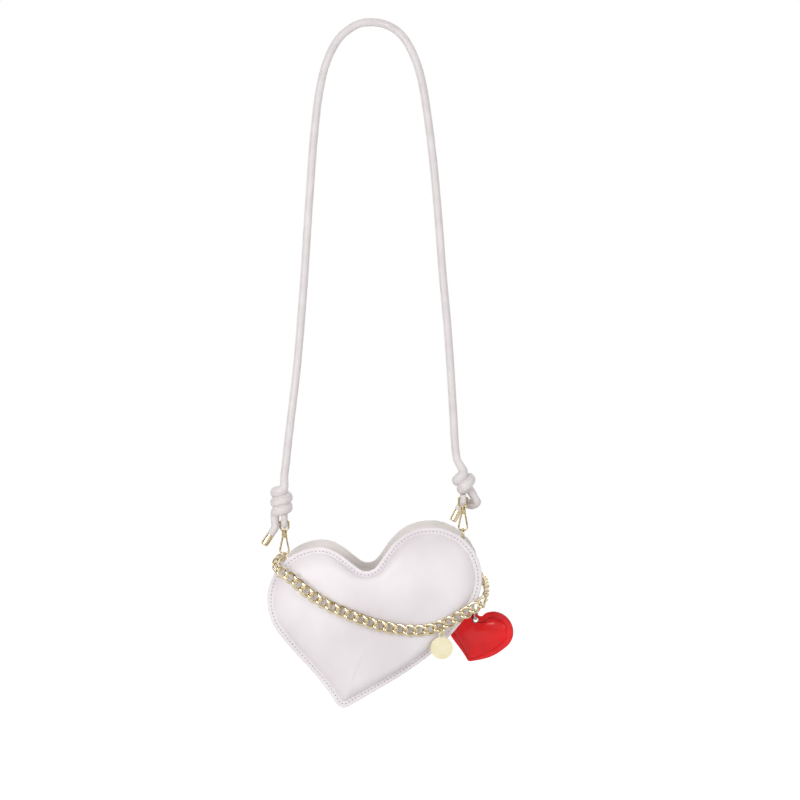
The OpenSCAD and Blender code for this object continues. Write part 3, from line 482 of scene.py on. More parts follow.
def smooth_path(points: Sequence[Point], steps: int = 6) -> list[Vector]:
    """Threads one smooth curve through given points.

    Args:
        points: The points, in millimetres.
        steps: Pieces between each two.

    Returns:
        The curve's points, in millimetres.
    """
    p = [Vector(q) for q in points]
    out = []
    for i in range(len(p) - 1):
        a, b, c, d = p[max(i - 1, 0)], p[i], p[i + 1], p[min(i + 2, len(p) - 1)]
        for k in range(steps):
            t = k / steps
            bend = (2 * a - 5 * b + 4 * c - d) * t * t + (3 * b - a - 3 * c + d) * t ** 3
            out.append(0.5 * (2 * b + (c - a) * t + bend))
    return out + [p[-1]]


def sweep(name: str, line: Sequence[Vector], radius: Callable[[float], float], sides: int = 16,
          fatten: tuple[Vector, float] | None = None) -> Piece:
    """Sweeps a round section along a line, as a cord, with its length and girth on its UV map.

    Its spoke is carried along so that it turns as little as it can.

    Args:
        name: The object's name.
        line: Points in millimetres.
        radius: Gives the radius in millimetres from the share of the way along.
        sides: Facets round it.
        fatten: A direction and a factor, where the section is wider along one way than across.

    Returns:
        The mesh object.
    """
    path = [p * MM for p in line]
    form = bmesh.new()
    uv = form.loops.layers.uv.new("UVMap")
    run, rows, far, spoke = 0.0, [], [], Vector((1, 0, 0))
    total = length_of(path)
    for i, centre in enumerate(path):
        run += (centre - path[i - 1]).length if i else 0.0
        tangent = (path[min(i + 1, len(path) - 1)] - path[max(i - 1, 0)]).normalized()
        spoke = (spoke - tangent * spoke.dot(tangent)).normalized()
        side = tangent.cross(spoke)
        size = radius(run / total) * MM
        row = []
        for k in range(sides):
            turn = math.tau * k / sides
            off = (math.cos(turn) * spoke + math.sin(turn) * side) * size
            if fatten:
                off += fatten[0] * off.dot(fatten[0]) * (fatten[1] - 1)
            row.append(form.verts.new(centre + off))
        rows.append(row)
        far.append(run)
    for i in range(len(rows) - 1):
        for k in range(sides):
            j = (k + 1) % sides
            face = form.faces.new((rows[i][k], rows[i][j], rows[i + 1][j], rows[i + 1][k]))
            spots = ((far[i], k), (far[i], k + 1), (far[i + 1], k + 1), (far[i + 1], k))
            for loop, (u, v) in zip(face.loops, spots):
                loop[uv].uv = (u, v / sides)
    form.faces.new(rows[0][::-1])
    form.faces.new(rows[-1])
    bmesh.ops.recalc_face_normals(form, faces=form.faces)
    mesh = bpy.data.meshes.new(name)
    form.to_mesh(mesh)
    form.free()
    ob = bpy.data.objects.new(name, mesh)
    bpy.context.scene.collection.objects.link(ob)
    return shade(ob, 50)


def length_of(path: Sequence[Vector]) -> float:
    """The length of a line of points."""
    return sum((path[i + 1] - path[i]).length for i in range(len(path) - 1))


def clad(node: str, name: str, body: str, look: Look, bevel_mm: float, steps: int = 2) -> None:
    """Copies a solid's form, welds it, rounds its edges and delivers it in the solid's place.

    Args:
        node: The solid's node.
        name: The new piece's name.
        body: The body that it rides on.
        look: Its finish.
        bevel_mm: The width of the rounding, in millimetres, or 0 for cut edges.
        steps: Faces across the rounding.
    """
    ob = bpy.data.objects.new(name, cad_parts[node].data.copy())
    ob.data.name = name
    bpy.context.scene.collection.objects.link(ob)
    edit(ob, lambda: bpy.ops.mesh.remove_doubles(threshold=SOLID_WELD),
         lambda: bpy.ops.mesh.dissolve_limited(angle_limit=math.radians(0.1)),
         lambda: node == "gusset" and triangulate())  # the wall's zip window needs whole triangles
    if bevel_mm:
        apply_modifier(ob, "BEVEL", width=bevel_mm * MM, segments=steps, limit_method="ANGLE",
                       angle_limit=math.radians(35), use_clamp_overlap=True)
    shade(ob)
    apply_modifier(ob, "WEIGHTED_NORMAL", keep_sharp=True)
    deliver(ob, body, look, node)


def placed_copies(name: str, pattern: Piece, places: Sequence[Matrix]) -> Piece:
    """Sets copies of one modelled piece at many places, each with its own mesh, and joins them.

    Args:
        name: The new piece's name.
        pattern: The modelled piece, which is used up.
        places: Where each copy stands.

    Returns:
        The joined object.
    """
    copies = []
    for place in places:
        ob = bpy.data.objects.new(name, in_order(pattern).data.copy())
        ob.data.transform(place)
        bpy.context.scene.collection.objects.link(ob)
        copies.append(ob)
    bpy.data.objects.remove(pattern)
    pick(*copies)
    bpy.ops.object.join()
    ob = bpy.context.active_object
    ob.name = ob.data.name = name
    return ob


def basis(x: Vector, y: Vector, z: Vector, at: Vector) -> Matrix:
    """Gives the place whose axes are x, y and z."""
    return Matrix(((x.x, y.x, z.x, at.x), (x.y, y.y, z.y, at.y), (x.z, y.z, z.z, at.z), (0, 0, 0, 1)))


def deliver(ob: Piece, body: str, look: Look, *nodes: str) -> Piece:
    """Gives a finished piece its material, its body and the solids that it stands for.

    Args:
        ob: The piece.
        body: The body that it rides on.
        look: Its finish.
        *nodes: The solids that it replaces.

    Returns:
        The same piece.
    """
    ob.data.materials.clear()
    ob.data.materials.append(look.material())
    if nodes:
        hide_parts(*nodes)
    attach(ob, body)
    LOG.info("%s: %d faces on %s", ob.name, len(ob.data.polygons), body)
    return ob


def keep(look: Look, *nodes: str) -> None:
    """Keeps solids whose shape is right and gives them a better material.

    Args:
        look: Their finish.
        *nodes: The solids' nodes.
    """
    for ob in (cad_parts[node] for node in nodes):
        if not ob.material_slots:
            ob.data.materials.append(look.material())
        for place in ob.material_slots:
            place.material = look.material()


def inflate(ob: Piece, held: Callable[[Vector], bool], pressure: float, cap_mm: float) -> None:
    """Blows a stitched pad up as cloth, holds its seam, and keeps the result in its mesh.

    Args:
        ob: The pad.
        held: Says whether a point is held by the seam.
        pressure: The cloth's pressure.
        cap_mm: The furthest that a point may move.
    """
    rest = [v.co.copy() for v in ob.data.vertices]
    group = ob.vertex_groups.new(name="seam")
    group.add([v.index for v in ob.data.vertices if held(v.co)], 1.0, "REPLACE")
    cloth = ob.modifiers.new("Cloth", "CLOTH")
    for key, value in {"use_pressure": True, "uniform_pressure_force": pressure, "vertex_group_mass": "seam",
                       "tension_stiffness": 25, "compression_stiffness": 25, "bending_stiffness": 3,
                       "quality": 6}.items():
        setattr(cloth.settings, key, value)
    cloth.settings.effector_weights.gravity = 0
    cloth.point_cache.frame_end = CLOTH_FRAMES
    for number in range(1, CLOTH_FRAMES + 1):
        bpy.context.scene.frame_set(number)
    pick(ob)
    bpy.ops.object.modifier_apply(modifier=cloth.name)
    bpy.context.scene.frame_set(1)
    for vertex, start in zip(ob.data.vertices, rest):
        move = vertex.co - start
        if move.length > cap_mm * MM:
            vertex.co = start + move.normalized() * cap_mm * MM
    ob.vertex_groups.clear()


@dataclass(frozen=True)
class HeartOutline:
    """A heart's outline as four arcs with curves between them, sized in millimetres.

    An arc is its centre and radius as shares of the width, its start and end angle, and its steps. The
    notch bends the other way, so its radius is negative.
    """

    width: float
    fine: int = 3
    arcs: tuple = ((0.295, -0.033, 0.238, -35, 142, 15), (-0.005, 0.061, -0.061, -38, -125, 6),
                   (-0.218, -0.138, 0.250, 92, 216, 20), (-0.111, -0.597, 0.045, 209, 301, 5))
    handles: tuple = (0.33, 0.35, 0.33, 0.42)
    peak_shares: tuple = (0.04, -0.23)

    def inset(self, k: int, d: float) -> float:
        """Limits an inset where the outline bends sharply."""
        return d if self.arcs[k][2] < 0 else min(d, 0.85 * self.arcs[k][2] * self.width)

    def on_arc(self, k: int, angle: float, d: float) -> Vector:
        """A point of one arc, drawn in by d.

        Args:
            k: The arc's number.
            angle: The angle on it, in degrees.
            d: The inset.

        Returns:
            The point in the drawing.
        """
        x, y, r = self.arcs[k][:3]
        a, size = math.radians(angle), abs(r) * self.width - math.copysign(1, r) * self.inset(k, d)
        return Vector((x * self.width + size * math.cos(a), y * self.width + size * math.sin(a)))

    def way(self, k: int, angle: float) -> Vector:
        """The outline's direction on one arc."""
        a = math.radians(angle)
        return math.copysign(1, self.arcs[k][2]) * Vector((-math.sin(a), math.cos(a)))

    def ring(self, d: float = 0.0) -> list[Vector]:
        """Draws the outline, drawn in by d millimetres.

        Args:
            d: The inset.

        Returns:
            Its points, counterclockwise, the same number for every inset.
        """
        out = []
        for k in range(4):
            start, end, steps = self.arcs[k][3:]
            steps *= self.fine
            out += [self.on_arc(k, start + (end - start) * i / steps, d) for i in range(steps + 1)]
            n = (k + 1) % 4
            p, q = self.on_arc(k, end, 0), self.on_arc(n, self.arcs[n][3], 0)
            h = self.handles[k] * (q - p).length
            c = [p, p + h * self.way(k, end), q - h * self.way(n, self.arcs[n][3]), q]
            bits = 6 * self.fine
            for i in range(1, bits):
                t = i / bits
                s = 1 - t
                spot = s ** 3 * c[0] + 3 * t * s ** 2 * c[1] + 3 * t * t * s * c[2] + t ** 3 * c[3]
                lean = (s ** 2 * (c[1] - c[0]) + 2 * t * s * (c[2] - c[1]) + t * t * (c[3] - c[2])).normalized()
                inward = s * self.inset(k, d) + t * self.inset(n, d)
                out.append(spot - inward * Vector((lean.y, -lean.x)))
        return out

    def peak(self) -> Vector:
        """The drawing's point below the padding's highest place."""
        return Vector(self.peak_shares) * self.width

    def toward_peak(self, ring: Sequence[Vector], share: float) -> list[Vector]:
        """Draws a ring in toward the peak."""
        return [self.peak() + share * (p - self.peak()) for p in ring]

    def rounder(self, ring: Sequence[Vector], share: float) -> list[Vector]:
        """Draws a ring in toward the peak, where it grows rounder on its way.

        Args:
            ring: The ring.
            share: How far from the peak it stays.

        Returns:
            The ring's new points.
        """
        peak = self.peak()
        mean = sum((p - peak).length for p in ring) / len(ring)
        ease = min(1.0, 1.3 * (1 - share))
        return [peak + share * (p - peak).lerp((p - peak).normalized() * mean, ease) for p in ring]


def even_points(ring: Sequence[Vector], pitch: float) -> list[tuple[Vector, Vector]]:
    """Walks round a closed line in even steps.

    Args:
        ring: The line's points.
        pitch: The rough step.

    Returns:
        A point and a direction for each step.
    """
    ends = list(ring) + [ring[0]]
    spans = [(ends[i + 1] - ends[i]).length for i in range(len(ring))]
    total = sum(spans)
    count = round(total / pitch)
    out, i, done = [], 0, 0.0
    for k in range(count):
        far = total * k / count
        while i < len(spans) - 1 and done + spans[i] < far:
            done += spans[i]
            i += 1
        out.append((ends[i].lerp(ends[i + 1], (far - done) / spans[i]), (ends[i + 1] - ends[i]).normalized()))
    return out


# ---------------------------------------------------------------- the purse


@dataclass(frozen=True)
class StrapEnd:
    """One end of the strap, in millimetres and degrees: its knot, the loop round the hook's bar, and its tail."""

    side: str
    knot: Point
    lead: float
    turn: float
    tilt: float
    bar: Point
    leg: float
    swell: float
    tail: tuple

    def leant(self, p: Point) -> Vector:
        """Tilts a vector as the knot is tilted."""
        return Matrix.Rotation(math.radians(self.tilt), 3, "Y") @ Vector(p)

    def loop_line(self, r: float = 4.3) -> list[Vector]:
        """The loop that passes under the hook's bar, in the plane across it.

        Args:
            r: The bend's radius.

        Returns:
            Points in millimetres.
        """
        bend = [(r * math.cos(a), -r * math.sin(a)) for a in np.linspace(0, math.pi, 21)]
        line = [(r, self.leg), (r, self.leg / 2), *bend, (-r, self.leg / 2), (-r, self.leg)]
        return [Vector(self.bar) + Vector((0, y, z)) for y, z in line]

    def tail_line(self, knot: Sequence[Vector]) -> list[Vector]:
        """The tail's route from its knot to its cap.

        Args:
            knot: The knot's line.

        Returns:
            Points in millimetres.
        """
        way = (knot[-1] - knot[-2]).normalized()
        ends = [Vector(p) for p in self.tail]
        last = (ends[-1] - ends[-2]).normalized()
        return [knot[-1], *smooth_path([knot[-1] + 2 * way, *ends]), ends[-1] + 2 * last]


@dataclass
class StrapRope:
    """The rope strap: its free stretch, two knots, their loops, tails and gilt caps."""

    rope: float = 4.0
    wind_r: float = 6.6
    pitch: float = 9.7
    bend: float = 6.0
    route: tuple = ((-83.6, -5.2, -430), (-80.5, -4, -402), (-76, -3, -365), (-72.5, -2, -335), (-69, -1, -295),
                    (-65.5, 0, -250), (-62.5, 0, -205), (-59, 0, -155), (-55.5, 0, -110), (-50.5, 0, -68),
                    (-43, 0, -36), (-30.5, 0, -12), (-14, 0, 1), (0, 0, 4), (15, 0, 2), (30, 0, -7), (42, 0, -25),
                    (51.5, 0, -53), (58.5, 0, -96), (64, 0, -142), (68.5, 0, -192), (72.5, 0, -244), (77, -1, -292),
                    (80.5, -2, -340), (83, -3, -380), (84.8, -4.4, -412), (86, -5, -424))
    ends: tuple = (
        StrapEnd("left", (-88.8, 0, -461), -60, 730, 0, (-86.0641, 0, -491.981), 7.0, 0.2,
                 ((-95.8, -0.7, -499), (-97.2, -0.7, -501.2), (-98.6, -0.7, -503.3))),
        StrapEnd("right", (91.5, 0, -446), -50, 480, -30, (93.298, 0, -468.265), 3.4, 1.35,
                 ((107, 9, -473.5), (103, 12.5, -476), (98, 14.5, -475.5), (94, 15, -475.5), (91.3, 15, -478),
                  (90, 15, -480.5))))
    cap_profile: tuple = (
        (0.1, 0.02), (3.6, 0.02), (4.0, 0.15), (4.0, 0.9), (3.75, 1.1), (3.75, 1.5), (4.0, 1.7), (4.0, 10.2),
        (3.78, 10.4), (3.78, 10.8), (4.0, 11.0), (3.95, 11.7), (3.6, 12.2), (2.6, 12.45), (0.1, 12.5))

    def wind(self, end: StrapEnd) -> list[Vector]:
        """Winds the rope round its core.

        Args:
            end: Which end of the strap.

        Returns:
            Points in millimetres, from the strap to the tail.
        """
        r, bend = self.wind_r, self.bend
        lead_turn = math.degrees(bend / r)
        first = end.lead - lead_turn
        last = first - end.turn
        low = -self.pitch * end.turn / 360
        quarter = [math.radians(f) for f in (15, 30, 45, 60, 75, 90)]
        out = [polar(r, end.lead, bend + self.rope * k) for k in (2, 1)]
        out += [polar(r, first + lead_turn * math.sin(f), bend * (1 - math.cos(f))) for f in quarter[::-1]]
        out += [polar(r, first - a, -self.pitch * a / 360) for a in np.arange(0, end.turn + 0.1, 7.5)]
        out += [polar(r, last - lead_turn * math.sin(f), low - bend * (1 - math.cos(f))) for f in quarter]
        out += [polar(r, last - lead_turn, low - bend - self.rope * k) for k in (1, 2)]
        return [Vector(end.knot) + end.leant(p) for p in out]

    def free_line(self) -> list[Vector]:
        """The strap's route from knot to knot.

        Returns:
            Points in millimetres.
        """
        left, right = (self.wind(end) for end in self.ends)
        ups = [(line[0] - line[1]).normalized() for line in (left, right)]
        inner = [left[0] + 2 * ups[0], *[Vector(p) for p in self.route], right[0] + 2 * ups[1]]
        return [left[0], *smooth_path(inner), right[0]]

    def knot_girth(self, share: float) -> float:
        """The rope's radius along a knot, which is pressed a little fuller in its turns."""
        return self.rope + 0.75 * min(1.0, min(share, 1 - share) / 0.14)

    def tie(self, end: StrapEnd) -> list[Piece]:
        """Builds one end's knot, loop, tail and cap.

        Args:
            end: Which end of the strap.

        Returns:
            The pieces.
        """
        line, side = self.wind(end), end.side
        tail = end.tail_line(line)
        place = Matrix.Translation(tail[-1] * MM) @ (tail[-1] - tail[-2]).normalized().to_track_quat(
            "Z", "Y").to_matrix().to_4x4() @ Matrix.Scale(MM, 4)
        return [
            deliver(sweep(f"{side}_knot_turns", line, self.knot_girth, 18, (end.leant((0, 0, 1)), 1.14)), "strap",
                    Look.ROPE, f"{side}_knot", f"{side}_knot_core"),
            deliver(sweep(f"{side}_bar_loop", end.loop_line(), lambda share: 3.1), "strap", Look.ROPE,
                    f"{side}_rope_loop"),
            deliver(sweep(f"{side}_tail", tail, lambda share: 3.85 + end.swell * math.sin(
                math.pi * min(1.0, share / 0.8))), "strap", Look.ROPE, f"{side}_rope_tail"),
            deliver(shade(loft(f"{side}_crimped_cap", round_rings(self.cap_profile, place, 40)), 35), "strap",
                    Look.GOLD, f"{side}_end_cap")]

    def build(self) -> None:
        """Builds the strap as one free cord with its knots, loops, tails and caps."""
        free = self.free_line()
        strap = deliver(sweep("strap_cord", free, lambda share: self.rope, 20), "strap", Look.ROPE, "strap_rope")
        pieces = [piece for end in self.ends for piece in self.tie(end)]


@dataclass
class Fittings:
    """The two clips, their rings and the tabs that hold them."""

    tab_edge: float = 0.5

    def build(self) -> None:
        """Dresses each clip, ring and tab."""
        for side in ("left", "right"):
            # The hook parts take the gold with painted shade and painted dark reflection.
            keep(Look.WIRE, *[f"{side}_{part}" for part in ("hook_bail", "hook_frame", "hook_gate", "gate_pin")])
            keep(Look.GOLD, f"{side}_strap_ring")
            clad(f"{side}_strap_tab", f"{side}_ring_tab", "bag", Look.LEATHER, self.tab_edge, 3)
        keep(Look.GOLD, "chain_ring")
        clad("chain_tab", "back_ring_tab", "bag", Look.LEATHER, self.tab_edge, 3)


@dataclass
class StitchRow:
    """A row of saddle stitches: each one a short twist of thread that dips at both ends."""

    length: float = 2.0
    thread: float = 0.4

    def one(self) -> Piece:
        """Models one stitch along X, from a ball drawn out and pinched at its ends.

        Returns:
            The stitch.
        """
        bpy.ops.mesh.primitive_uv_sphere_add(segments=8, ring_count=7, radius=0.5, rotation=(0, math.radians(90), 0))
        ob = bpy.context.active_object
        bpy.ops.object.transform_apply(location=False, rotation=True, scale=False)
        for vertex in ob.data.vertices:
            x, y, z = vertex.co
            vertex.co = (x * self.length * MM, y * 2 * self.thread * MM,
                         z * 2 * self.thread * MM - 0.25 * (2 * abs(x)) ** 3 * self.thread * MM)
        return shade(ob, 80)

    def run(self, name: str, body: str, places: Sequence[Matrix]) -> None:
        """Lays stitches at these places, each with its X along the row and its Z off the leather."""
        deliver(placed_copies(name, self.one(), places), body, Look.THREAD)


@dataclass
class HeartBag:
    """The bag: a stitched front border round a padded middle, side walls, back, opening back and zip."""

    outline: HeartOutline = field(default_factory=lambda: HeartOutline(212.0))
    at: tuple = (-2.0, -538.0)
    front: float = -27.0
    back: float = 33.0
    leather: float = 1.6
    foot: float = 6.0
    dome: float = 14.6
    stitch_in: float = 3.8
    pitch: float = 3.7
    fold: float = -17.17
    tilt: float = 9.6
    teeth_in: float = 7.8
    teeth_pitch: float = 2.4
    row_y: tuple = (18.65, 21.35)

    def place(self, p: Vector, y: float) -> Vector:
        """Puts a point of the drawing into the row frame, in metres."""
        return Vector((self.at[0] + p.x, y, self.at[1] + p.y)) * MM

    def above(self, p: Vector) -> float:
        """How far a point of the drawing lies above the fold."""
        a = math.radians(self.tilt)
        return (p.y - self.fold) * math.cos(a) - p.x * math.sin(a)

    def border(self) -> None:
        """The front's flat leather border, turned over at its edge and running in under the padding."""
        f, t, row, foot = self.front, self.leather, self.stitch_in, self.foot
        profile = [(0.0, f + 0.75), (0.12, f + 0.35), (0.45, f + 0.08), (1.0, f), (2.6, f), (row - 0.7, f + 0.02),
                   (row, f + 0.2), (row + 0.7, f + 0.02), (foot - 0.6, f + 0.05), (foot + 0.8, f + 0.35),
                   (foot + 3.4, f + 1.0), (foot + 4.2, f + t), (foot, f + t), (0.8, f + t), (0.2, f + t - 0.25)]
        rings = [[self.place(p, y) for p in self.outline.ring(d)] for d, y in profile]
        deliver(shade(loft("front_border", rings, closed=True), 35), "bag", Look.LEATHER)

    def padding(self) -> None:
        """The front's padded middle, blown up from a cushion that is held along its seam."""
        line = self.outline
        foot = line.ring(self.foot)
        rings = [[self.place(p, self.front + 1.3) for p in line.toward_peak(foot, s)] for s in (0.12, 0.5, 0.9, 0.99)]
        rings.append([self.place(p, self.front + 0.8) for p in foot])
        for s, h in ((0.996, 0.0), (0.985, 0.10), (0.967, 0.23), (0.945, 0.35), (0.92, 0.46), (0.89, 0.56),
                     (0.855, 0.66), (0.815, 0.745), (0.77, 0.82), (0.72, 0.875), (0.66, 0.92), (0.59, 0.955),
                     (0.51, 0.978), (0.42, 0.99), (0.32, 0.997), (0.21, 1.0), (0.1, 1.0)):
            rings.append([self.place(p, self.front + 0.3 - (self.dome - 0.9) * h) for p in line.rounder(foot, s)])
        ob = loft("padded_heart", rings)
        limit = (self.front + 0.25) * MM
        inflate(ob, lambda p: p.y > limit, 1.6, 1.4)
        apply_modifier(ob, "SMOOTH", factor=0.5, iterations=4)
        apply_modifier(ob, "SUBSURF", levels=1, render_levels=1)
        shade(ob, 80)
        deliver(ob, "bag", Look.LEATHER, "front_panel")

    def stitches(self) -> None:
        """The stitch row round the front border, and those of the back."""
        rows = StitchRow()
        spots = even_points(self.outline.ring(self.stitch_in), self.pitch)
        rows.run("front_stitches", "bag", [self.seat(spot, self.front + 0.05, -1) for spot in spots])
        lower = [spot for spot in spots if self.above(spot[0]) < -1.5]
        upper = [spot for spot in spots if self.above(spot[0]) > 1.5]
        rows.run("back_stitches", "bag", [self.seat(spot, self.back - 0.05, 1) for spot in lower])
        rows.run("flap_stitches", "flap", [self.seat(spot, self.back - 0.05, 1) for spot in upper])

    def seat(self, spot: tuple[Vector, Vector], y: float, facing: int, up: str = "Z") -> Matrix:
        """Where one stitch or tooth stands along a line of the drawing.

        Args:
            spot: Its point and direction in the drawing.
            y: Its depth, in millimetres.
            facing: 1 where it faces the back and -1 the front.
            up: Its own axis that faces so, Z for a stitch and Y for a tooth.

        Returns:
            The place.
        """
        (p, way), out = spot, Vector((0, facing, 0))
        along = Vector((way.x, 0, way.y)).normalized()
        if up == "Z":
            return basis(along, out.cross(along), out, self.place(p, y))
        return basis(along * facing, out, (along * facing).cross(out), self.place(p, y))

    def walls(self) -> None:
        """Side walls, back and opening back: leather with rounded cut edges, and their linings, boards and foam."""
        for look, bevel, rows in (
                (Look.WALL, 0.45, (("gusset", "side_wall", "bag"), ("flap_gusset", "opening_side_wall", "flap"))),
                (Look.LEATHER, 0.5, (("back_panel", "lower_back", "bag"), ("back_flap", "opening_back", "flap"))),
                (Look.CLOTH, 0.15, (("gusset_lining", "side_lining", "bag"),
                                    ("front_lining", "front_inner_lining", "bag"),
                                    ("back_lining", "back_inner_lining", "bag"),
                                    ("flap_lining", "opening_lining", "flap"))),
                (Look.CLOTH, 0.2, (("inner_pocket", "slip_pocket", "bag"),)),
                (Look.BOARD, 0.2, (("front_board", "front_stiffener", "bag"), ("back_board", "back_stiffener", "bag"),
                                   ("flap_board", "opening_stiffener", "flap"))),
                (Look.CLOTH, 0.12, (("zip_tape", "zip_side_tape", "bag"), ("flap_zip_tape", "opening_zip_tape", "flap"),
                                    ("zip_tail_tape", "zip_end_tapes", "bag"))),
                (Look.FOAM, 0, (("front_padding", "front_foam", "bag"),))):
            for node, name, body in rows:
                clad(node, name, body, look, bevel)

    def tooth(self) -> Piece:
        """Models one cast tooth: a block whose head steps in toward the other row.

        Returns:
            The tooth.
        """
        bpy.ops.mesh.primitive_cube_add(size=1, location=(0, 0, 0))
        ob = bpy.context.active_object
        for vertex in ob.data.vertices:
            vertex.co = (vertex.co.x * 1.25 * MM, vertex.co.y * 1.5 * MM, vertex.co.z * 1.8 * MM)
        pick(ob)
        bpy.ops.object.mode_set(mode="EDIT")
        bpy.ops.mesh.select_all(action="DESELECT")
        form = bmesh.from_edit_mesh(ob.data)
        max(form.faces, key=lambda f: f.calc_center_median().y).select = True
        bmesh.update_edit_mesh(ob.data)
        bpy.ops.mesh.inset(thickness=0.22 * MM, depth=0)
        bpy.ops.mesh.extrude_region_move(TRANSFORM_OT_translate={"value": (0, 0.5 * MM, 0)})
        bpy.ops.object.mode_set(mode="OBJECT")
        apply_modifier(ob, "BEVEL", width=0.12 * MM, segments=1)
        return shade(ob, 50)

    def zipper(self) -> None:
        """Both rows of teeth, in step with each other and with short tails below the fold, the slider and its pull."""
        ring = self.outline.ring(self.teeth_in)
        far = even_points(ring, self.teeth_pitch)
        near = even_points(ring, self.teeth_pitch / 2)[1::2]
        fore, aft = self.row_y
        fixed = [self.seat(spot, fore, 1, "Y") for spot in far if self.above(spot[0]) > -16]
        fixed += [self.seat(spot, aft, -1, "Y") for spot in near if -16 < self.above(spot[0]) < -0.8]
        opening = [self.seat(spot, aft, -1, "Y") for spot in near if self.above(spot[0]) > 0.8]
        deliver(placed_copies("fixed_teeth", self.tooth(), fixed), "bag", Look.GOLD, "zip_teeth")
        deliver(placed_copies("opening_teeth", self.tooth(), opening), "flap", Look.GOLD, "flap_zip_teeth")
        clad("zip_slider", "zip_slider_body", "slider", Look.GOLD, 0.35, 3)
        clad("zip_pull", "zip_pull_tab", "pull", Look.GOLD, 0.3, 3)

    def build(self) -> None:
        """Builds the whole bag."""
        for step in (self.padding, self.border, self.stitches, self.walls, self.zipper):
            step()


@dataclass
class CurbChain:
    """The curb chain: one flattened, twisted link copied along the solid's links, and its jump rings."""

    long: float = 6.6
    wide: float = 4.6
    wire: float = 0.95
    broad: float = 1.75
    twist: float = 48.0

    def link(self) -> Piece:
        """Models one link from a hoop, drawn long, twisted and flattened on its faces.

        Returns:
            The link.
        """
        bpy.ops.mesh.primitive_torus_add(major_radius=1, minor_radius=0.2, major_segments=32, minor_segments=10)
        ob = bpy.context.active_object
        for vertex in ob.data.vertices:
            x, y, z = vertex.co
            spoke, rise = (math.hypot(x, y) - 1) / 0.2 * self.wire * self.broad, z / 0.2 * self.wire
            centre, side, up = self.section(math.atan2(y, x))
            vertex.co = (centre + spoke * side + rise * up) * MM
        return clean(ob)

    def centre(self, t: float) -> Vector:
        """The wire's middle at an angle."""
        h = math.radians(self.twist * math.cos(t))
        y = self.wide * math.sin(t)
        return Vector((self.long * math.cos(t), y * math.cos(h), y * math.sin(h)))

    def section(self, t: float) -> tuple[Vector, Vector, Vector]:
        """Finds how the wire lies.

        Args:
            t: The angle round the link.

        Returns:
            The wire's middle and the two directions across it.
        """
        middle = self.centre(t)
        way = (self.centre(t + 0.02) - self.centre(t - 0.02)).normalized()
        side = Vector((middle.x, middle.y, 0))
        side = (side - way * side.dot(way)).normalized()
        return middle, side, way.cross(side)

    def places(self) -> list[Matrix]:
        """Reads where each of the solid's links stands and how it is turned.

        Returns:
            A place for each link.
        """
        solid = bpy.data.objects.new("link_places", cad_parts["chain_links"].data.copy())
        bpy.context.scene.collection.objects.link(solid)
        edit(solid, lambda: bpy.ops.mesh.remove_doubles(threshold=SOLID_WELD),
             lambda: bpy.ops.mesh.separate(type="LOOSE"))
        out = []
        for part in list(bpy.context.selected_objects):
            spots = np.array([v.co for v in part.data.vertices])
            middle = spots.mean(axis=0)
            _, axes = np.linalg.eigh(np.cov((spots - middle).T))
            x, y = Vector(axes[:, 2]), Vector(axes[:, 1])
            out.append(basis(x, y, x.cross(y), Vector(middle)))
            bpy.data.objects.remove(part)
        return out

    def build(self) -> None:
        """Builds the chain."""
        deliver(shade(placed_copies("curb_links", self.link(), self.places()), 60), "chain", Look.GOLD, "chain_links")
        keep(Look.GOLD, "chain_jump_rings")


@dataclass
class DiscCharm:
    """The plain disc: a struck coin blank with a rolled edge and an eye, on its small ring."""

    edge: float = 0.35

    def build(self) -> None:
        """Builds the disc."""
        clad("disc_charm", "plain_disc", "disc", Look.COIN, self.edge, 4)
        keep(Look.GOLD, "disc_ring")


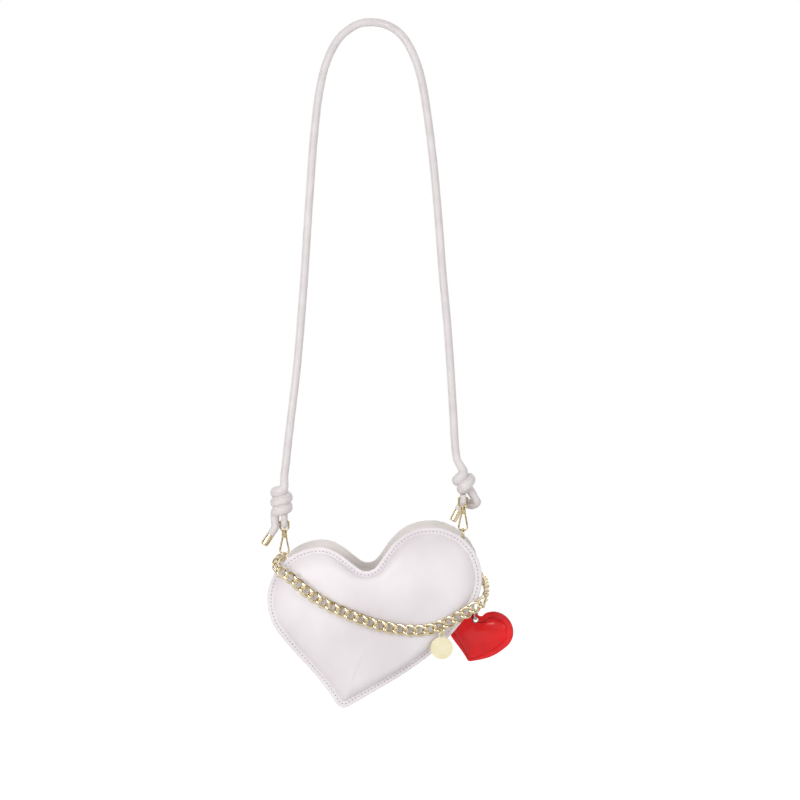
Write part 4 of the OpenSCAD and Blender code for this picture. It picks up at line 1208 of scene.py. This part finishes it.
@dataclass
class RedHeart:
    """The small heart: lacquered leather over a pad, with a flat border, a backing and a nickel eyelet."""

    outline: HeartOutline = field(default_factory=lambda: HeartOutline(
        70.0, 2, ((0.300, -0.168, 0.290, -38, 124, 15), (0.050, 0.060, -0.058, -46, -130, 5),
                  (-0.172, -0.152, 0.272, 54, 212, 16), (0.014, -0.652, 0.045, 218, 292, 6)),
        peak_shares=(0.06, -0.27)))
    hole: tuple = (108.24, 38.0, -598.48)
    hole_in: float = 4.6
    hole_r: float = 2.3
    tilt: float = -10.0
    yaw: float = -18.0
    rim: float = 6.2
    puff: float = 4.5

    def hung(self) -> Matrix:
        """The eyelet's frame: x to the heart's right, y up and z out of its front, in millimetres."""
        return (Matrix.Scale(MM, 4) @ Matrix.Translation(self.hole) @ Matrix.Rotation(math.radians(self.yaw), 4, "Z")
                @ Matrix.Rotation(math.radians(90), 4, "X") @ Matrix.Rotation(math.radians(self.tilt), 4, "Z"))

    def skin(self, name: str, rows: Sequence[tuple[float, float, float]], smooth: int) -> Piece:
        """Draws one skin of the heart, punches the link's hole through it and paints its cut edge.

        Args:
            name: Its name.
            rows: The inset of each ring, its height off the seam, and how far from the peak it stays.
            smooth: How often its faces are divided.

        Returns:
            The skin, delivered.
        """
        put = self.hung() @ Matrix.Translation((0, self.hole_in, 0))
        line = self.outline
        ob = loft(name, [[put @ Vector((p.x, p.y, z)) for p in line.toward_peak(line.ring(inset), share)]
                         for inset, z, share in rows])
        if smooth:
            apply_modifier(ob, "SUBSURF", levels=smooth, render_levels=smooth)
        r = self.hole_r + 0.5
        tool = loft("hollow_punch", round_rings([(r, -10), (r, 10)], self.hung(), 40))
        apply_modifier(ob, "BOOLEAN", operation="DIFFERENCE", object=tool, solver="MANIFOLD")
        bpy.data.objects.remove(tool)
        nodes = ("heart_front", "heart_filling") if smooth else ("heart_back",)
        deliver(shade(ob, 50), "red_heart", Look.RED, *nodes)
        ob.data.materials.append(Look.RED_EDGE.material())
        out = (put.to_3x3() @ Vector((0, 0, 1))).normalized()
        for face in ob.data.polygons:
            if abs(face.normal.dot(out)) < 0.45:
                face.material_index = 1
        return ob

    def eyelet(self) -> None:
        """Rolls the eyelet: a tube whose two lips lie on the leather."""
        r, lip = self.hole_r, self.hole_r + 1.1
        profile = [(r, -1.6), (r + 0.35, -1.95), (lip - 0.3, -1.8), (lip, -1.45), (lip - 0.5, -1.1), (r + 0.45, -1.0),
                   (r + 0.45, 1.3), (lip - 0.5, 1.4), (lip, 1.75), (lip - 0.3, 2.1), (r + 0.35, 2.25), (r, 1.9)]
        rolled = loft("rolled_eyelet", round_rings(profile, self.hung(), 36), closed=True)
        deliver(shade(rolled, 45), "red_heart", Look.SILVER, "heart_eyelet")

    def build(self) -> None:
        """Builds the small heart and what it hangs from."""
        rim = self.rim
        front = [(0.35, 0.05, 0.1), (0.35, 0.05, 0.8), (0.35, 0.05, 1), (0.05, 0.3, 1), (0, 0.9, 1), (0.25, 1.3, 1),
                 (0.8, 1.45, 1), (rim - 1.2, 1.45, 1), (rim - 0.35, 1.25, 1), (rim, 1.0, 1)]
        front += [(rim, 1.2 + (self.puff - 0.1) * high, share) for share, high in (
            (0.985, 0.16), (0.95, 0.4), (0.9, 0.58), (0.82, 0.74), (0.7, 0.87), (0.5, 0.965), (0.25, 1), (0.08, 1))]
        self.skin("lacquered_front", front, 1)
        self.skin("lacquered_back", [(0.3, 0, 0.1), (0.3, 0, 0.8), (0.3, 0, 1), (0.1, -0.15, 1), (0.1, -0.8, 1),
                                     (0.4, -1.1, 1), (0.9, -1.2, 1), (0.9, -1.2, 0.8), (0.9, -1.2, 0.1)], 0)
        self.eyelet()
        keep(Look.SILVER, "heart_ring", "heart_link", "heart_jump_ring")


@dataclass
class Studio:
    """The camera, the lamps, the pale floor and the white surround.

    A lamp is its name, its place and the side of its square in metres, and its power in watts.
    """

    middle: tuple = (0.030, 0.0, -0.370)
    far: float = 1.5
    rise: float = 2.5
    aim: tuple = (0, 0, -0.6)
    lamps: tuple = (("key_lamp", (-0.85, -1.4, -0.12), 0.8, 10.8), ("fill_lamp", (1.05, -1.25, -0.05), 0.45, 4.2),
                    ("top_lamp", (0.1, 0.3, 0.5), 0.8, 1.2), ("back_lamp", (0.3, 1.5, -0.2), 1.0, 5))

    def camera(self) -> None:
        """Sets the camera at the photograph's distance and height."""
        a = math.radians(self.rise)
        spot = Vector(self.middle) + Vector((0, -math.cos(a), math.sin(a))) * self.far
        bpy.ops.object.camera_add(location=spot, rotation=(math.radians(90 - self.rise), 0, 0))
        camera = bpy.context.active_object
        camera.name = "studio_camera"
        camera.data.sensor_width = 36
        camera.data.lens = 36 * self.far / 0.8
        camera.data.clip_end = 50
        bpy.context.scene.camera = camera

    def surround(self) -> None:
        """A plain grey sky for light, a white one for the camera, and a dim hall for reflections."""
        world = bpy.data.worlds.new("studio_white")
        bpy.context.scene.world = world
        world.use_nodes = True
        tree = world.node_tree
        tree.nodes.clear()
        path = add_node(tree, "LightPath").outputs
        seen = add_node(tree, "Math", {0: path["Is Camera Ray"], 1: path["Is Transmission Ray"]}, operation="MAXIMUM")
        way = add_node(tree, "SeparateXYZ", {"Vector": add_node(tree, "TexCoord").outputs["Generated"]})
        depth = add_node(tree, "MapRange", {"From Min": -1.0, "From Max": 1.0, "Value": way.outputs["Y"]})
        hall = ramp(tree, depth.outputs["Result"], (0.04, WHITE), (0.14, (0.12, 0.11, 0.1, 1)),
                    (0.42, (0.2, 0.19, 0.18, 1)), (0.6, (0.9, 0.9, 0.9, 1)))
        soft, mirror, white = (add_node(tree, "Background", {"Color": colour, "Strength": strength}).outputs[0]
                               for colour, strength in ((WHITE, 0.58), (hall, 1.0), (WHITE, 1.0)))
        inner = add_node(tree, "MixShader", {0: path["Is Glossy Ray"], 1: soft, 2: mirror}).outputs[0]
        outer = add_node(tree, "MixShader", {0: seen.outputs[0], 1: inner, 2: white}).outputs[0]
        add_node(tree, "OutputWorld", {"Surface": outer})

    def floor(self) -> None:
        """A pale floor below the hanging bag, which the camera sees as white but for the shadow on it."""
        bpy.ops.mesh.primitive_plane_add(size=6, location=(0, 0, -0.86))
        ob = bpy.context.active_object
        ob.name = "pale_floor"
        material = bpy.data.materials.new("painted_floor_board")
        material.use_nodes = True
        tree = material.node_tree
        paint = feed(tree.nodes["Principled BSDF"], {"Base Color": (0.8, 0.8, 0.8, 1), "Roughness": 0.9}).outputs[0]
        glow = add_node(tree, "Emission", {"Color": WHITE, "Strength": 1.19}).outputs[0]
        ray = add_node(tree, "LightPath").outputs["Is Camera Ray"]
        part = add_node(tree, "Math", {0: ray, 1: 0.75}, operation="MULTIPLY").outputs[0]
        mix = add_node(tree, "MixShader", {0: part, 1: paint, 2: glow}).outputs[0]
        feed(tree.nodes["Material Output"], {"Surface": mix})
        ob.data.materials.append(material)

    def build(self) -> None:
        """Lights the purse softly from the upper left."""
        self.surround()
        self.floor()
        for name, at, size, power in self.lamps:
            turn = (Vector(self.aim) - Vector(at)).to_track_quat("-Z", "Y").to_euler()
            bpy.ops.object.light_add(type="AREA", location=at, rotation=turn)
            ob = bpy.context.active_object
            ob.name = name
            ob.data.shape, ob.data.size, ob.data.energy = "SQUARE", size, power


def main() -> None:
    """Builds the camera and the cord first, then every other piece."""
    pick()
    bpy.context.scene.view_settings.view_transform = "Standard"
    studio = Studio()
    studio.camera()
    for look in Look:
        look.value.build()
    for part in (StrapRope(), Fittings(), HeartBag(), CurbChain(), DiscCharm(), RedHeart(), studio):
        part.build()
    pick()


if __name__ == "__main__":
    main()
